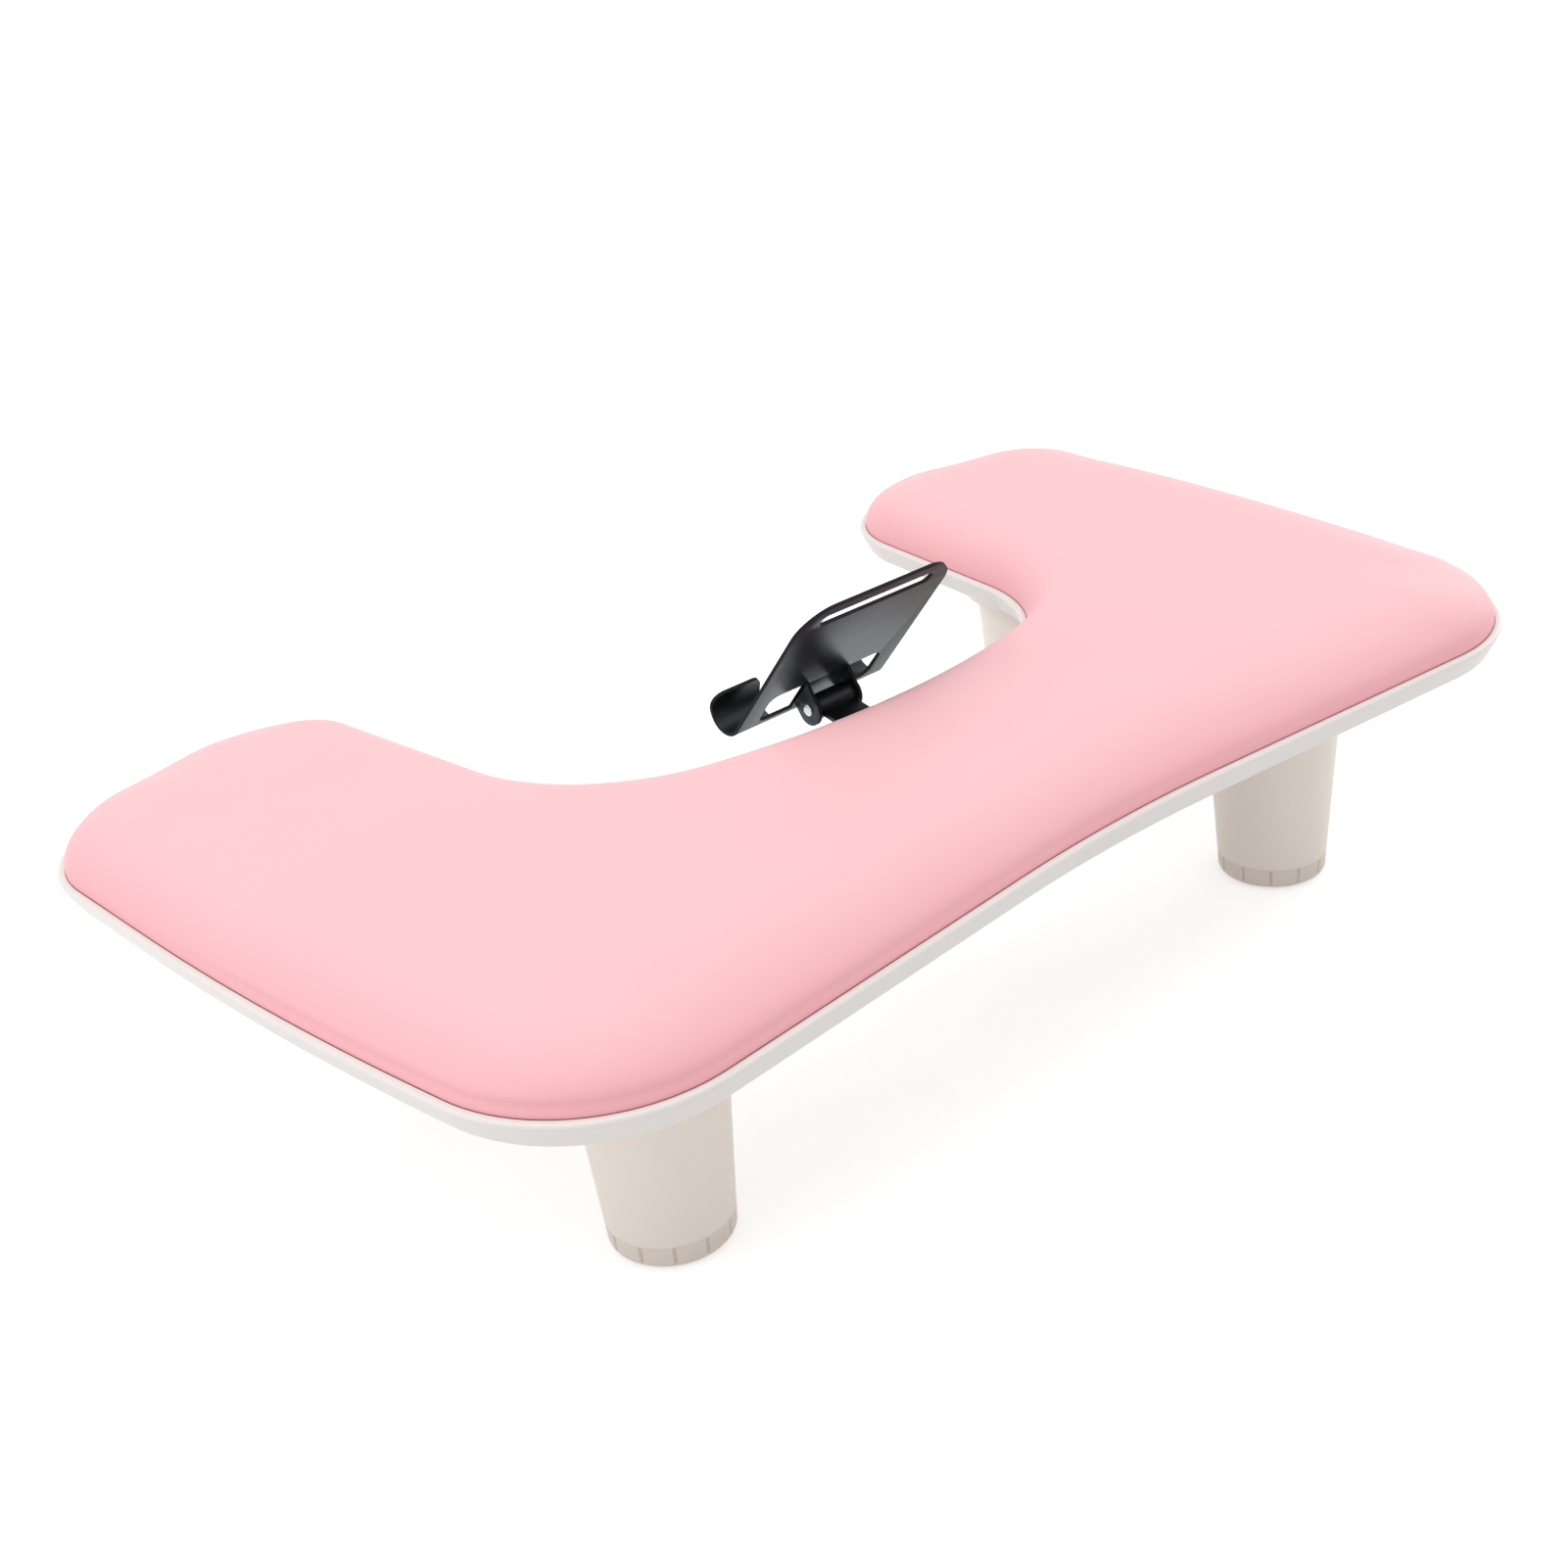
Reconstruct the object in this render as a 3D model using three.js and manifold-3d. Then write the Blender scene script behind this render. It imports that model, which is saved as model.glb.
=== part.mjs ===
// Manicure armrest: a butterfly-shaped crowned cushion in a moulded tray on four hollow legs,
// with a folded sheet-steel phone rest hinged in the cut-out.
// Millimetres, +Z up. X runs along the length, the cut-out opens to +Y, and z = 0 is the table.
import * as THREE from 'three';
import { mergeVertices } from 'three/addons/utils/BufferGeometryUtils.js';
import Module from 'manifold-3d';

const wasm = await Module();
wasm.setup();

// Plan of the cushion edge, as the corners of a polygon that fillets round off. Half is the half
// length over the wings, and the other half of the plan is the mirror image of this one.
const plan = {
  half: 271.5, frontIn: 30, waistIn: 7, frontReach: 166.8, frontDip: 20.6, waistShare: 0.4669,
  wingReach: 138, hornRise: 41, bayHalf: 125.5, bayFlare: 24, bayStart: 8, bayDip: 33.5,
};

// How much of its shorter side each fillet takes.
const fillet = {
  frontMiddleShare: 0.2059, frontShare: 0.3893, waistShare: 0.5453, wingShare: 0.2746,
  hornShare: 0.4782, bayShare: 0.3669, bayMiddleShare: 0.6165,
};

// Heights of the tray and the cushion, and how wide the cushion's edge rounds off: a share of the
// wing's fillet outside, a width of its own at the cut-out.
const seamHeight = 110.1;
const skirtDrop = 10.9;
const crownRise = 20.6;
const outerEdgeShare = 0.93;
const bayEdgeWidth = 20.5;

// Walls, fits and overruns.
const fit = 0.3;
const overrun = 1;
const tray = {
  recess: 2.5, deck: 2.6, wall: 2.4, footDraft: 1, rim: 3, rimRound: 1.8, rimSteps: 3, lip: 0.5,
  lipEdge: 0.5, toe: 0.7,
};
const cover = { thick: 1.2, hem: 22, tuck: 0.7, tuckHeight: 0.8, insideSteps: 4, outsideSteps: 4 };
const board = { thick: 5, inset: 4.4, pilotDepth: 4.2 };
const foam = { inset: 2.7, edgeSteps: 5 };
const leg = {
  bayInset: 39.4, frontInset: 78.2, backInset: 96.8, footRadius: 22.3, topRadius: 28.8, wall: 2.5,
  flare: 3, flareSteps: 3, sides: 28,
};
const cap = {
  height: 9, floor: 2.4, edge: 1.6, spigot: 9, spigotWall: 2, grooves: 12, grooveWidth: 1,
  grooveDepth: 0.7, grooveHeight: 6.6, grooveRise: 1.5, grooveStartShare: 0.5, sides: 36,
};
const footPad = { radius: 17, thick: 2.2, proud: 0.8, sides: 28 };
const rib = { thick: 1.8, recess: 0.5 };
const boss = { radius: 5, hemGap: 7.2, blockGap: 4, frontShare: 0.58, wingGap: 4, sides: 16 };
const screw = {
  radius: 1.5, head: 3.5, headHeight: 1.9, bite: 3.6, clearance: 0.3, sides: 12, dome: 0.6,
  seatGap: 0.3, tipGap: 0.5,
};

// Sizes of the phone rest, in its own frame: x along the hinge, y through the plate toward the
// phone and z up the plate, from the hinge pin, which stands a little above the seam. Lean is the
// angle of the plate from upright.
const lean = 39.6;
const pinY = -0.9;
const pinRise = 4.1;
const plate = {
  width: 77, height: 68, thick: 1.5, standoff: 7, cornerRadius: 15,
  hookWidth: 26, hookDepth: 18.4, hookDrop: 9.3, lip: 0.7, lipRadius: 4, footDrop: 12.3,
  slitLength: 58, slitWidth: 7.8, slitDrop: 8,
  windowReach: 29.2, windowRise: 9.2, windowDrop: 8.7, windowRadius: 4.5, windowSteps: 4,
  hookSteps: 10, cornerSteps: 8, slitSteps: 6, lipSteps: 4,
};
const ear = { outer: 11.4, thick: 1.5, radius: 6.5, curveSteps: 10 };
const pin = { radius: 2, head: 3, headHeight: 1, dome: 0.5, sides: 20 };
const washer = { radius: 4.6, thick: 0.5, sides: 24 };
const arm = {
  thick: 2, knuckleRadius: 5, slope: 12, bend: 3, bendSteps: 5, half: 8.6, rimGap: 0.6,
  footHalf: 17, footLength: 30, footRise: 2, screwX: 10, screwInset: 3, sides: 28,
};
const block = { half: 21, length: 36, pilotDepth: 4.4 };

const degrees = Math.PI / 180;
const skirtHeight = seamHeight - skirtDrop;
const deckTop = seamHeight - tray.recess;
const deckBottom = deckTop - tray.deck;
const hemBottom = deckTop + fit;
const boardBottom = hemBottom + cover.thick + fit;
const boardTop = boardBottom + board.thick;
const earInner = ear.outer - ear.thick;
const pinZ = seamHeight + pinRise;

// Materials.
const paint = (name, color, roughness, metalness = 0) =>
  new THREE.MeshStandardMaterial({ name, color, roughness, metalness });
const leather = paint('pink leather', 0xfcc4c9, 0.5);
const shellPlastic = paint('off-white plastic', 0xf1ece7, 0.45);
const legPlastic = paint('warm white plastic', 0xe0d6cc, 0.5);
const wood = paint('plywood', 0xc9a878, 0.8);
const sponge = paint('foam', 0xf3e6b8, 0.95);
const rubber = paint('grey rubber', 0x8c8884, 0.9);
const blackSteel = paint('black steel', 0x1c1c1f, 0.38, 0.7);
const brightSteel = paint('bright steel', 0xc8cbd0, 0.3, 1);
const nylon = paint('black nylon', 0x222222, 0.6);

const root = new THREE.Group();

// A BufferGeometry with only positions and an index, as a manifold solid.
function solid(geometry, matrix) {
  const bare = geometry.index ? geometry.toNonIndexed() : geometry.clone();
  bare.deleteAttribute('normal');
  bare.deleteAttribute('uv');
  if (matrix) bare.applyMatrix4(matrix);
  const merged = mergeVertices(bare);
  const index = dropThin(merged.index.array);
  return new wasm.Manifold(new wasm.Mesh({
    numProp: 3,
    vertProperties: new Float32Array(merged.attributes.position.array),
    triVerts: new Uint32Array(index),
  }));
}

// Triangles that lost a corner to merging are left out.
function dropThin(index) {
  const kept = [];
  for (let i = 0; i < index.length; i += 3) {
    const [a, b, c] = [index[i], index[i + 1], index[i + 2]];
    if (a !== b && b !== c && c !== a) kept.push(a, b, c);
  }
  return kept;
}

function geometryOf(manifold) {
  const mesh = manifold.getMesh();
  const geometry = new THREE.BufferGeometry();
  geometry.setAttribute('position', new THREE.BufferAttribute(new Float32Array(mesh.vertProperties), 3));
  geometry.setIndex(new THREE.BufferAttribute(new Uint32Array(mesh.triVerts), 1));
  geometry.computeVertexNormals();
  return geometry;
}

function addMesh(name, manifold, material, parent = root) {
  const mesh = new THREE.Mesh(geometryOf(manifold), material.clone());
  mesh.name = name;
  parent.add(mesh);
  return mesh;
}

const moved = (x, y, z) => new THREE.Matrix4().makeTranslation(x, y, z);
const uprightLathe = new THREE.Matrix4().makeRotationX(Math.PI / 2);
const layDown = new THREE.Matrix4().makeRotationY(Math.PI / 2);

// A turned solid about +Z from [radius, height] pairs that start and end on the axis.
function turned(profile, sides, matrix = new THREE.Matrix4()) {
  const points = profile.map(([radius, height]) => new THREE.Vector2(radius, height));
  return solid(new THREE.LatheGeometry(points, sides), matrix.clone().multiply(uprightLathe));
}

function rod(radius, from, to, sides, x, y) {
  return turned([[0, from], [radius, from], [radius, to], [0, to]], sides, moved(x, y, 0));
}

// A rod along X, about the hinge line unless it is placed elsewhere.
function shaft(radius, from, to, sides, place = new THREE.Matrix4()) {
  const profile = [[0, from], [radius, from], [radius, to], [0, to]];
  return turned(profile, sides, place.clone().multiply(layDown));
}

function block3(x0, x1, y0, y1, z0, z1) {
  const box = new THREE.BoxGeometry(x1 - x0, y1 - y0, z1 - z0);
  return solid(box, moved((x0 + x1) / 2, (y0 + y1) / 2, (z0 + z1) / 2));
}

// A shape drawn in y and z, extruded along X between two places.
function bar(shape, x0, x1, curveSegments = 8) {
  const geometry = new THREE.ExtrudeGeometry(shape, { depth: x1 - x0, bevelEnabled: false, curveSegments });
  const axes = new THREE.Matrix4().makeBasis(
    new THREE.Vector3(0, 1, 0), new THREE.Vector3(0, 0, 1), new THREE.Vector3(1, 0, 0));
  return solid(geometry, moved(x0, 0, 0).multiply(axes));
}

// A shape drawn in x and z, extruded along +Y between two places.
function panel(shape, y0, y1, curveSegments = 8) {
  const geometry = new THREE.ExtrudeGeometry(shape, { depth: y1 - y0, bevelEnabled: false, curveSegments });
  const axes = new THREE.Matrix4().makeBasis(
    new THREE.Vector3(1, 0, 0), new THREE.Vector3(0, 0, 1), new THREE.Vector3(0, -1, 0));
  return solid(geometry, moved(0, y1, 0).multiply(axes));
}

const join = (solids) => solids.reduce((sum, next) => sum.add(next));

// Corners of half of the plan, from the middle of the front edge round to the middle of the bay.
// Each names the cushion's edge, outer or bay, where its arc starts and ends.
const waistY = -plan.frontReach + plan.waistShare * (plan.frontReach + plan.wingReach);
const hornX = plan.bayHalf + plan.bayFlare;
const hornY = plan.wingReach + plan.hornRise;
const bayDeepest = plan.bayStart + plan.bayDip;
const corner = (x, y, share, start = 'outer', end = start) => ({ x, y, share, start, end });
const frontMiddle = corner(0, plan.frontDip - plan.frontReach, fillet.frontMiddleShare);
const bayMiddle = corner(0, -bayDeepest, fillet.bayMiddleShare, 'bay');
const sideCorners = [
  corner(plan.half - plan.frontIn, -plan.frontReach, fillet.frontShare),
  corner(plan.half - plan.waistIn, waistY, fillet.waistShare),
  corner(plan.half, plan.wingReach, fillet.wingShare),
  corner(hornX, hornY, fillet.hornShare, 'outer', 'bay'),
  corner(plan.bayHalf, -plan.bayStart, fillet.bayShare, 'bay'),
];
const mirrored = sideCorners.map((c) => corner(-c.x, c.y, c.share, c.end, c.start)).reverse();
const corners = [frontMiddle, ...sideCorners, bayMiddle, ...mirrored];

// The fillet arc at a corner: it is tangent to both sides and takes its share of the shorter one.
function filletAt(i) {
  const { x, y, share } = corners[i];
  const back = corners[(i + corners.length - 1) % corners.length];
  const next = corners[(i + 1) % corners.length];
  const here = new THREE.Vector2(x, y);
  const toBack = new THREE.Vector2(back.x, back.y).sub(here);
  const toNext = new THREE.Vector2(next.x, next.y).sub(here);
  const setback = share * Math.min(toBack.length(), toNext.length());
  toBack.normalize();
  toNext.normalize();
  const half = Math.acos(toBack.dot(toNext)) / 2;
  const radius = setback * Math.tan(half);
  const middle = toBack.clone().add(toNext).normalize();
  const centre = here.clone().addScaledVector(middle, radius / Math.sin(half));
  const from = here.clone().addScaledVector(toBack, setback).sub(centre);
  return { radius, centre, from, turn: -Math.sign(toBack.cross(toNext)), sweep: Math.PI - 2 * half };
}
const wingFillet = filletAt(corners.findIndex((c) => c.x === plan.half));
const edgeWidths = { outer: outerEdgeShare * wingFillet.radius, bay: bayEdgeWidth };

// Points round the plan, counter-clockwise: position, outward normal and edge width of each.
function planPoints(arcStep, longStep) {
  return corners.flatMap(({ start, end }, i) => {
    const { radius, centre, from, turn, sweep } = filletAt(i);
    const steps = Math.ceil(Math.max(sweep / arcStep, sweep * radius / longStep));
    return Array.from({ length: steps + 1 }, (_, k) => {
      const share = k / steps;
      const out = from.clone().rotateAround(new THREE.Vector2(), turn * sweep * share);
      const width = edgeWidths[start] + (edgeWidths[end] - edgeWidths[start]) * share;
      return { at: centre.clone().add(out), normal: out.normalize().multiplyScalar(turn), width };
    });
  });
}
const arcStep = 14 * degrees;
const longStep = 34;
const outline = planPoints(arcStep, longStep);

// One ring of the plan: offset gives how far out each point lies, as a length or a function of it.
function ring(offset, height) {
  const out = typeof offset === 'function' ? offset : () => offset;
  return outline.map((p) => {
    const at = p.at.clone().addScaledVector(p.normal, out(p));
    return new THREE.Vector3(at.x, at.y, height);
  });
}

// A closed body through rings of like count. The first ring is capped facing down, the last facing up.
function loft(rings) {
  const count = rings[0].length;
  const positions = rings.flat().flatMap((v) => v.toArray());
  const index = [];
  for (let k = 0; k + 1 < rings.length; k += 1) {
    for (let i = 0; i < count; i += 1) {
      const a = k * count + i;
      const b = k * count + (i + 1) % count;
      index.push(a, b, b + count, a, b + count, a + count);
    }
  }
  const flat = (points) =>
    THREE.ShapeUtils.triangulateShape(points.map((v) => new THREE.Vector2(v.x, v.y)), []);
  const last = (rings.length - 1) * count;
  for (const [a, b, c] of flat(rings[0])) index.push(c, b, a);
  for (const [a, b, c] of flat(rings[rings.length - 1])) index.push(last + a, last + b, last + c);
  const geometry = new THREE.BufferGeometry();
  geometry.setAttribute('position', new THREE.Float32BufferAttribute(positions, 3));
  geometry.setIndex(index);
  return solid(geometry);
}

// Rings of the crowned edge: a quarter ellipse from the seam up to the flat of the cushion,
// kept inside the outer skin by inset.
function crownRings(inset, from, to, steps) {
  return Array.from({ length: steps + 1 }, (_, k) => {
    const angle = (from + (to - from) * k / steps) * degrees;
    const shrink = (p) => -inset - (p.width - inset) * (1 - Math.cos(angle));
    return ring(shrink, seamHeight + (crownRise - inset) * Math.sin(angle));
  });
}

// The middle of the bay's edge, where its fillet arc passes.
const bayFillet = filletAt(corners.indexOf(bayMiddle));
const bayEdgeY = bayFillet.centre.y - bayFillet.radius;

// Where the legs stand, beside the bay and in from the front and back edges.
const legX = plan.bayHalf + leg.bayInset;
const legFrontY = -plan.frontReach + leg.frontInset;
const legBackY = plan.wingReach - leg.backInset;
const legPlaces = [
  ['front_left', -legX, legFrontY], ['front_right', legX, legFrontY],
  ['back_left', -legX, legBackY], ['back_right', legX, legBackY],
];

// Where the screws stand: two in the middle, two on the front legs' rib, two at the waist and two
// in the wings, clear of the hem that is turned in under the board.
const hemClear = cover.hem + boss.radius + boss.hemGap;
const middleScrewY = -plan.frontReach + plan.frontDip + hemClear;
const blockScrewY = bayEdgeY - block.length - boss.radius - boss.blockGap;
const frontScrewX = boss.frontShare * legX;
const waistScrewX = plan.half - plan.waistIn - hemClear;
const wingScrewX = (hornX + plan.half) / 2;
const wingScrewY = plan.wingReach - cover.hem - boss.radius - boss.wingGap;
const screwPlaces = [
  [0, middleScrewY], [0, blockScrewY], [-frontScrewX, legFrontY], [frontScrewX, legFrontY],
  [-waistScrewX, waistY], [waistScrewX, waistY], [-wingScrewX, wingScrewY], [wingScrewX, wingScrewY],
];

const armScrewY = bayEdgeY - arm.screwInset - arm.footLength / 2;
const armScrewPlaces = [['left', -arm.screwX, armScrewY], ['right', arm.screwX, armScrewY]];
const screwSeat = skirtHeight + screw.headHeight;
const screwHole = screw.radius + screw.clearance;

// Radius of a leg's outside at a height above the table.
const legRadiusAt = (height) => leg.footRadius + (leg.topRadius - leg.footRadius) * height / skirtHeight;

// How far out the tray's drafted side stands at a height, between its toe and its rounded rim.
function sideAt(height) {
  const low = skirtHeight + tray.toe;
  const share = (height - low) / (seamHeight - tray.rimRound - low);
  return -tray.footDraft + (tray.rim + tray.footDraft) * share;
}

// Tray: a shallow moulding with a rounded rim, a deck, ribs, screw bosses and the four legs.
function makeTray() {
  const rounding = Array.from({ length: tray.rimSteps + 1 }, (_, k) => {
    const angle = (Math.PI / 2) * k / tray.rimSteps;
    const drop = tray.rimRound * (1 - Math.sin(angle));
    return ring(tray.rim - tray.rimRound * (1 - Math.cos(angle)), seamHeight - drop);
  });
  const skin = loft([
    ring(-tray.footDraft - tray.toe, skirtHeight),
    ring(-tray.footDraft, skirtHeight + tray.toe),
    ...rounding,
    ring(tray.lip + tray.lipEdge, seamHeight),
    ring(tray.lip, seamHeight - tray.lipEdge),
    ring(tray.lip, deckTop),
  ]);
  const hollow = loft([
    ring(-tray.footDraft - tray.wall, skirtHeight - overrun),
    ring(sideAt(deckBottom) - tray.wall, deckBottom),
  ]);
  const inside = loft([
    ring(-tray.footDraft - tray.wall / 2, skirtHeight + rib.recess),
    ring(-tray.wall / 2, deckBottom + tray.deck / 2),
  ]);
  const bosses = screwPlaces.map(([x, y]) =>
    rod(boss.radius, screwSeat, boardBottom - fit, boss.sides, x, y));
  const body = join([
    skin.subtract(hollow),
    ribs().intersect(inside),
    armBlock(),
    ...bosses,
    ...legPlaces.map(([, x, y]) => legShell(x, y)),
  ]);
  const cuts = [
    ...legPlaces.map(([, x, y]) => legBore(x, y)),
    ...screwPlaces.map(([x, y]) =>
      rod(screwHole, skirtHeight, boardBottom + overrun, screw.sides, x, y)),
    ...screwPlaces.map(([x, y]) =>
      rod(boss.radius + overrun, skirtHeight - overrun, screwSeat, boss.sides, x, y)),
    ...armScrewPlaces.map(([, x, y]) =>
      rod(screwHole, skirtHeight - overrun, skirtHeight + block.pilotDepth, screw.sides, x, y)),
  ];
  return body.subtract(join(cuts));
}

// Ribs under the deck: rows along the length and across it, through the legs and the screws.
function ribs() {
  const half = rib.thick / 2;
  const top = deckBottom + tray.deck / 2;
  const long = plan.half;
  const deep = Math.max(hornY, plan.frontReach);
  const rows = [legFrontY, legBackY, middleScrewY];
  const columns = [legX, frontScrewX, wingScrewX].flatMap((x) => [-x, x]);
  return join([
    ...rows.map((y) => block3(-long, long, y - half, y + half, skirtHeight, top)),
    ...columns.map((x) => block3(x - half, x + half, -deep, deep, skirtHeight, top)),
  ]);
}

// The solid block at the middle of the bay that the phone rest's arm is screwed to.
function armBlock() {
  const box = block3(-block.half, block.half, bayEdgeY - block.length, bayEdgeY + overrun,
    skirtHeight, deckBottom + tray.deck / 2);
  return box.intersect(loft([ring(-tray.footDraft - tray.toe, skirtHeight), ring(-tray.lip, deckTop)]));
}

// One leg: a drafted tube that flares out where it meets the underside.
function legShell(x, y) {
  const top = deckBottom + tray.deck / 2;
  const flareStart = skirtHeight - leg.flare;
  const flare = Array.from({ length: leg.flareSteps + 1 }, (_, k) => {
    const angle = (Math.PI / 2) * k / leg.flareSteps;
    const out = leg.flare * (1 - Math.cos(angle));
    return [legRadiusAt(flareStart) + out, flareStart + leg.flare * Math.sin(angle)];
  });
  const foot = cap.height + fit;
  const neck = legRadiusAt(flareStart) + leg.flare;
  const profile = [[0, foot], [legRadiusAt(foot), foot], ...flare, [neck, top], [0, top]];
  return turned(profile, leg.sides, moved(x, y, 0));
}

// The leg's bore, open at the foot for the cap's spigot and at the top under the cushion.
function legBore(x, y) {
  const from = cap.height + fit - overrun;
  const to = deckTop + overrun;
  const low = legRadiusAt(from) - leg.wall;
  const high = legRadiusAt(to) - leg.wall;
  return turned([[0, from], [low, from], [high, to], [0, to]], leg.sides, moved(x, y, 0));
}

// Foot cap: a cup with a spigot that pushes up into the leg, and upright grooves round its band.
function makeFootCap() {
  const recess = footPad.radius + fit;
  const recessTop = footPad.thick + fit;
  const floorTop = recessTop + cap.floor;
  const outer = legRadiusAt(cap.height);
  const bore = legRadiusAt(cap.height) - leg.wall - fit;
  const top = cap.height + cap.spigot;
  const cup = turned([
    [0, recessTop], [recess, recessTop], [recess, footPad.proud],
    [leg.footRadius - cap.edge, footPad.proud], [leg.footRadius, footPad.proud + cap.edge],
    [outer, cap.height], [bore, cap.height], [bore, top],
    [bore - cap.spigotWall, top], [bore - cap.spigotWall, floorTop], [0, floorTop],
  ], cap.sides);
  const low = footPad.proud + cap.grooveRise;
  const halfGroove = cap.grooveWidth / 2;
  const cutter = block3(outer - cap.grooveDepth, outer + overrun, -halfGroove, halfGroove,
    low, low + cap.grooveHeight);
  const grooves = Array.from({ length: cap.grooves }, (_, k) => {
    const turn = (k + cap.grooveStartShare) * 2 * Math.PI / cap.grooves;
    return cutter.transform(new THREE.Matrix4().makeRotationZ(turn).toArray());
  });
  return cup.subtract(join(grooves));
}

// Cushion board: plywood cut to the plan, with a pilot hole over each screw boss.
function makeBoard() {
  const slab = loft([ring(-board.inset, boardBottom), ring(-board.inset, boardTop)]);
  const holes = screwPlaces.map(([x, y]) =>
    rod(screwHole, boardBottom - overrun, boardBottom + board.pilotDepth, screw.sides, x, y));
  return slab.subtract(join(holes));
}

// Foam: rounded at its edge like the cushion, resting on the board.
function makeFoam() {
  const bottom = boardTop + fit;
  const from = Math.asin((bottom - seamHeight) / (crownRise - foam.inset)) / degrees;
  return loft(crownRings(foam.inset, from, 90, foam.edgeSteps));
}

// Cover: one skin of leather over the foam, tucked in at the seam and hemmed under the board.
function makeCover() {
  const inner = cover.thick;
  const inside = crownRings(inner, 0, 90, cover.insideSteps).reverse();
  const outside = crownRings(0, 0, 90, cover.outsideSteps);
  const hemTop = hemBottom + cover.thick;
  return loft([
    ...inside,
    ring(-inner - cover.tuck, hemTop),
    ring(-cover.hem, hemTop),
    ring(-cover.hem, hemBottom),
    ring(-cover.tuck, hemBottom),
    ring(-cover.tuck, hemBottom + cover.tuckHeight),
    ...outside,
  ]);
}

// A screw pointing up, its pan head's seat at z = 0: domed head, shank and point.
function makeScrew(length) {
  return turned([
    [0, -screw.headHeight],
    [screw.head - screw.dome, -screw.headHeight],
    [screw.head, -screw.headHeight + screw.dome],
    [screw.head, -screw.seatGap],
    [screw.radius, -screw.seatGap],
    [screw.radius, length - screw.radius],
    [0, length],
  ], screw.sides);
}

// Phone plate, in the rest's frame: bent from one sheet, with a slit near its top, a window on
// each side of the hinge, two hooks along its foot and two ears folded back round the pin.
function makePlate() {
  const back = plate.standoff;
  const front = plate.standoff + plate.thick;
  const slitZ = plate.height - plate.slitDrop;
  const face = panel(plateOutline(), back, front, plate.cornerSteps);
  const slit = slot(plate.slitLength, plate.slitWidth, slitZ);
  const windows = [-1, 1].map((side) => panel(windowOutline(side), back - overrun, front + overrun));
  const hooks = [-1, 1].map((side) => makeHook(side));
  const ears = [-1, 1].map((side) => makeEar(side));
  const openings = join([panel(slit, back - overrun, front + overrun, plate.slitSteps), ...windows]);
  return join([face.subtract(openings), ...hooks, ...ears]);
}

// The flat of the plate: rounded top corners, and a shorter middle between the hooks.
function plateOutline() {
  const half = plate.width / 2;
  const inner = half - plate.hookWidth;
  const r = plate.cornerRadius;
  const shape = new THREE.Shape();
  shape.moveTo(-half, -plate.hookDrop);
  shape.lineTo(-inner, -plate.hookDrop);
  shape.lineTo(-inner, -plate.footDrop);
  shape.lineTo(inner, -plate.footDrop);
  shape.lineTo(inner, -plate.hookDrop);
  shape.lineTo(half, -plate.hookDrop);
  shape.lineTo(half, plate.height - r);
  shape.absarc(half - r, plate.height - r, r, 0, Math.PI / 2, false);
  shape.lineTo(-half + r, plate.height);
  shape.absarc(-half + r, plate.height - r, r, Math.PI / 2, Math.PI, false);
  return shape;
}

// A slot with round ends, centred on x = 0.
function slot(length, width, z) {
  const r = width / 2;
  const shape = new THREE.Shape();
  shape.moveTo(-length / 2 + r, z - r);
  shape.lineTo(length / 2 - r, z - r);
  shape.absarc(length / 2 - r, z, r, -Math.PI / 2, Math.PI / 2, false);
  shape.lineTo(-length / 2 + r, z + r);
  shape.absarc(-length / 2 + r, z, r, Math.PI / 2, Math.PI * 3 / 2, false);
  return shape;
}

// A window: square beside its ear, rounded at the outer corners.
function windowOutline(side) {
  const r = plate.windowRadius;
  const out = plate.windowReach - r;
  const shape = new THREE.Shape();
  const points = [[ear.outer, -plate.windowDrop], [out, -plate.windowDrop]];
  for (let k = 1; k <= plate.windowSteps; k += 1) {
    const angle = (Math.PI / 2) * (k / plate.windowSteps - 1);
    points.push([out + r * Math.cos(angle), r * (1 + Math.sin(angle)) - plate.windowDrop]);
  }
  for (let k = 0; k <= plate.windowSteps; k += 1) {
    const angle = (Math.PI / 2) * k / plate.windowSteps;
    points.push([out + r * Math.cos(angle), plate.windowRise - r + r * Math.sin(angle)]);
  }
  points.push([ear.outer, plate.windowRise]);
  const placed = points.map(([x, z]) => new THREE.Vector2(side * x, z));
  shape.setFromPoints(side > 0 ? placed : placed.reverse());
  return shape;
}

// A hook: the sheet curls forward in a half circle and ends in a low lip with rounded corners.
function makeHook(side) {
  const outer = plate.hookDepth / 2;
  const inner = outer - plate.thick;
  const centreY = plate.standoff + outer;
  const profile = new THREE.Shape();
  profile.moveTo(plate.standoff, overrun - plate.hookDrop);
  profile.lineTo(plate.standoff, -plate.hookDrop);
  profile.absarc(centreY, -plate.hookDrop, outer, Math.PI, 2 * Math.PI, false);
  profile.lineTo(centreY + outer, plate.lip - plate.hookDrop);
  profile.lineTo(centreY + inner, plate.lip - plate.hookDrop);
  profile.lineTo(centreY + inner, -plate.hookDrop);
  profile.absarc(centreY, -plate.hookDrop, inner, 2 * Math.PI, Math.PI, true);
  profile.lineTo(plate.standoff + plate.thick, overrun - plate.hookDrop);
  const half = plate.width / 2;
  const x0 = Math.min(side * half, side * (half - plate.hookWidth));
  const curl = bar(profile, x0, x0 + plate.hookWidth, plate.hookSteps);
  return curl.intersect(hookTrim(x0, centreY));
}

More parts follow.
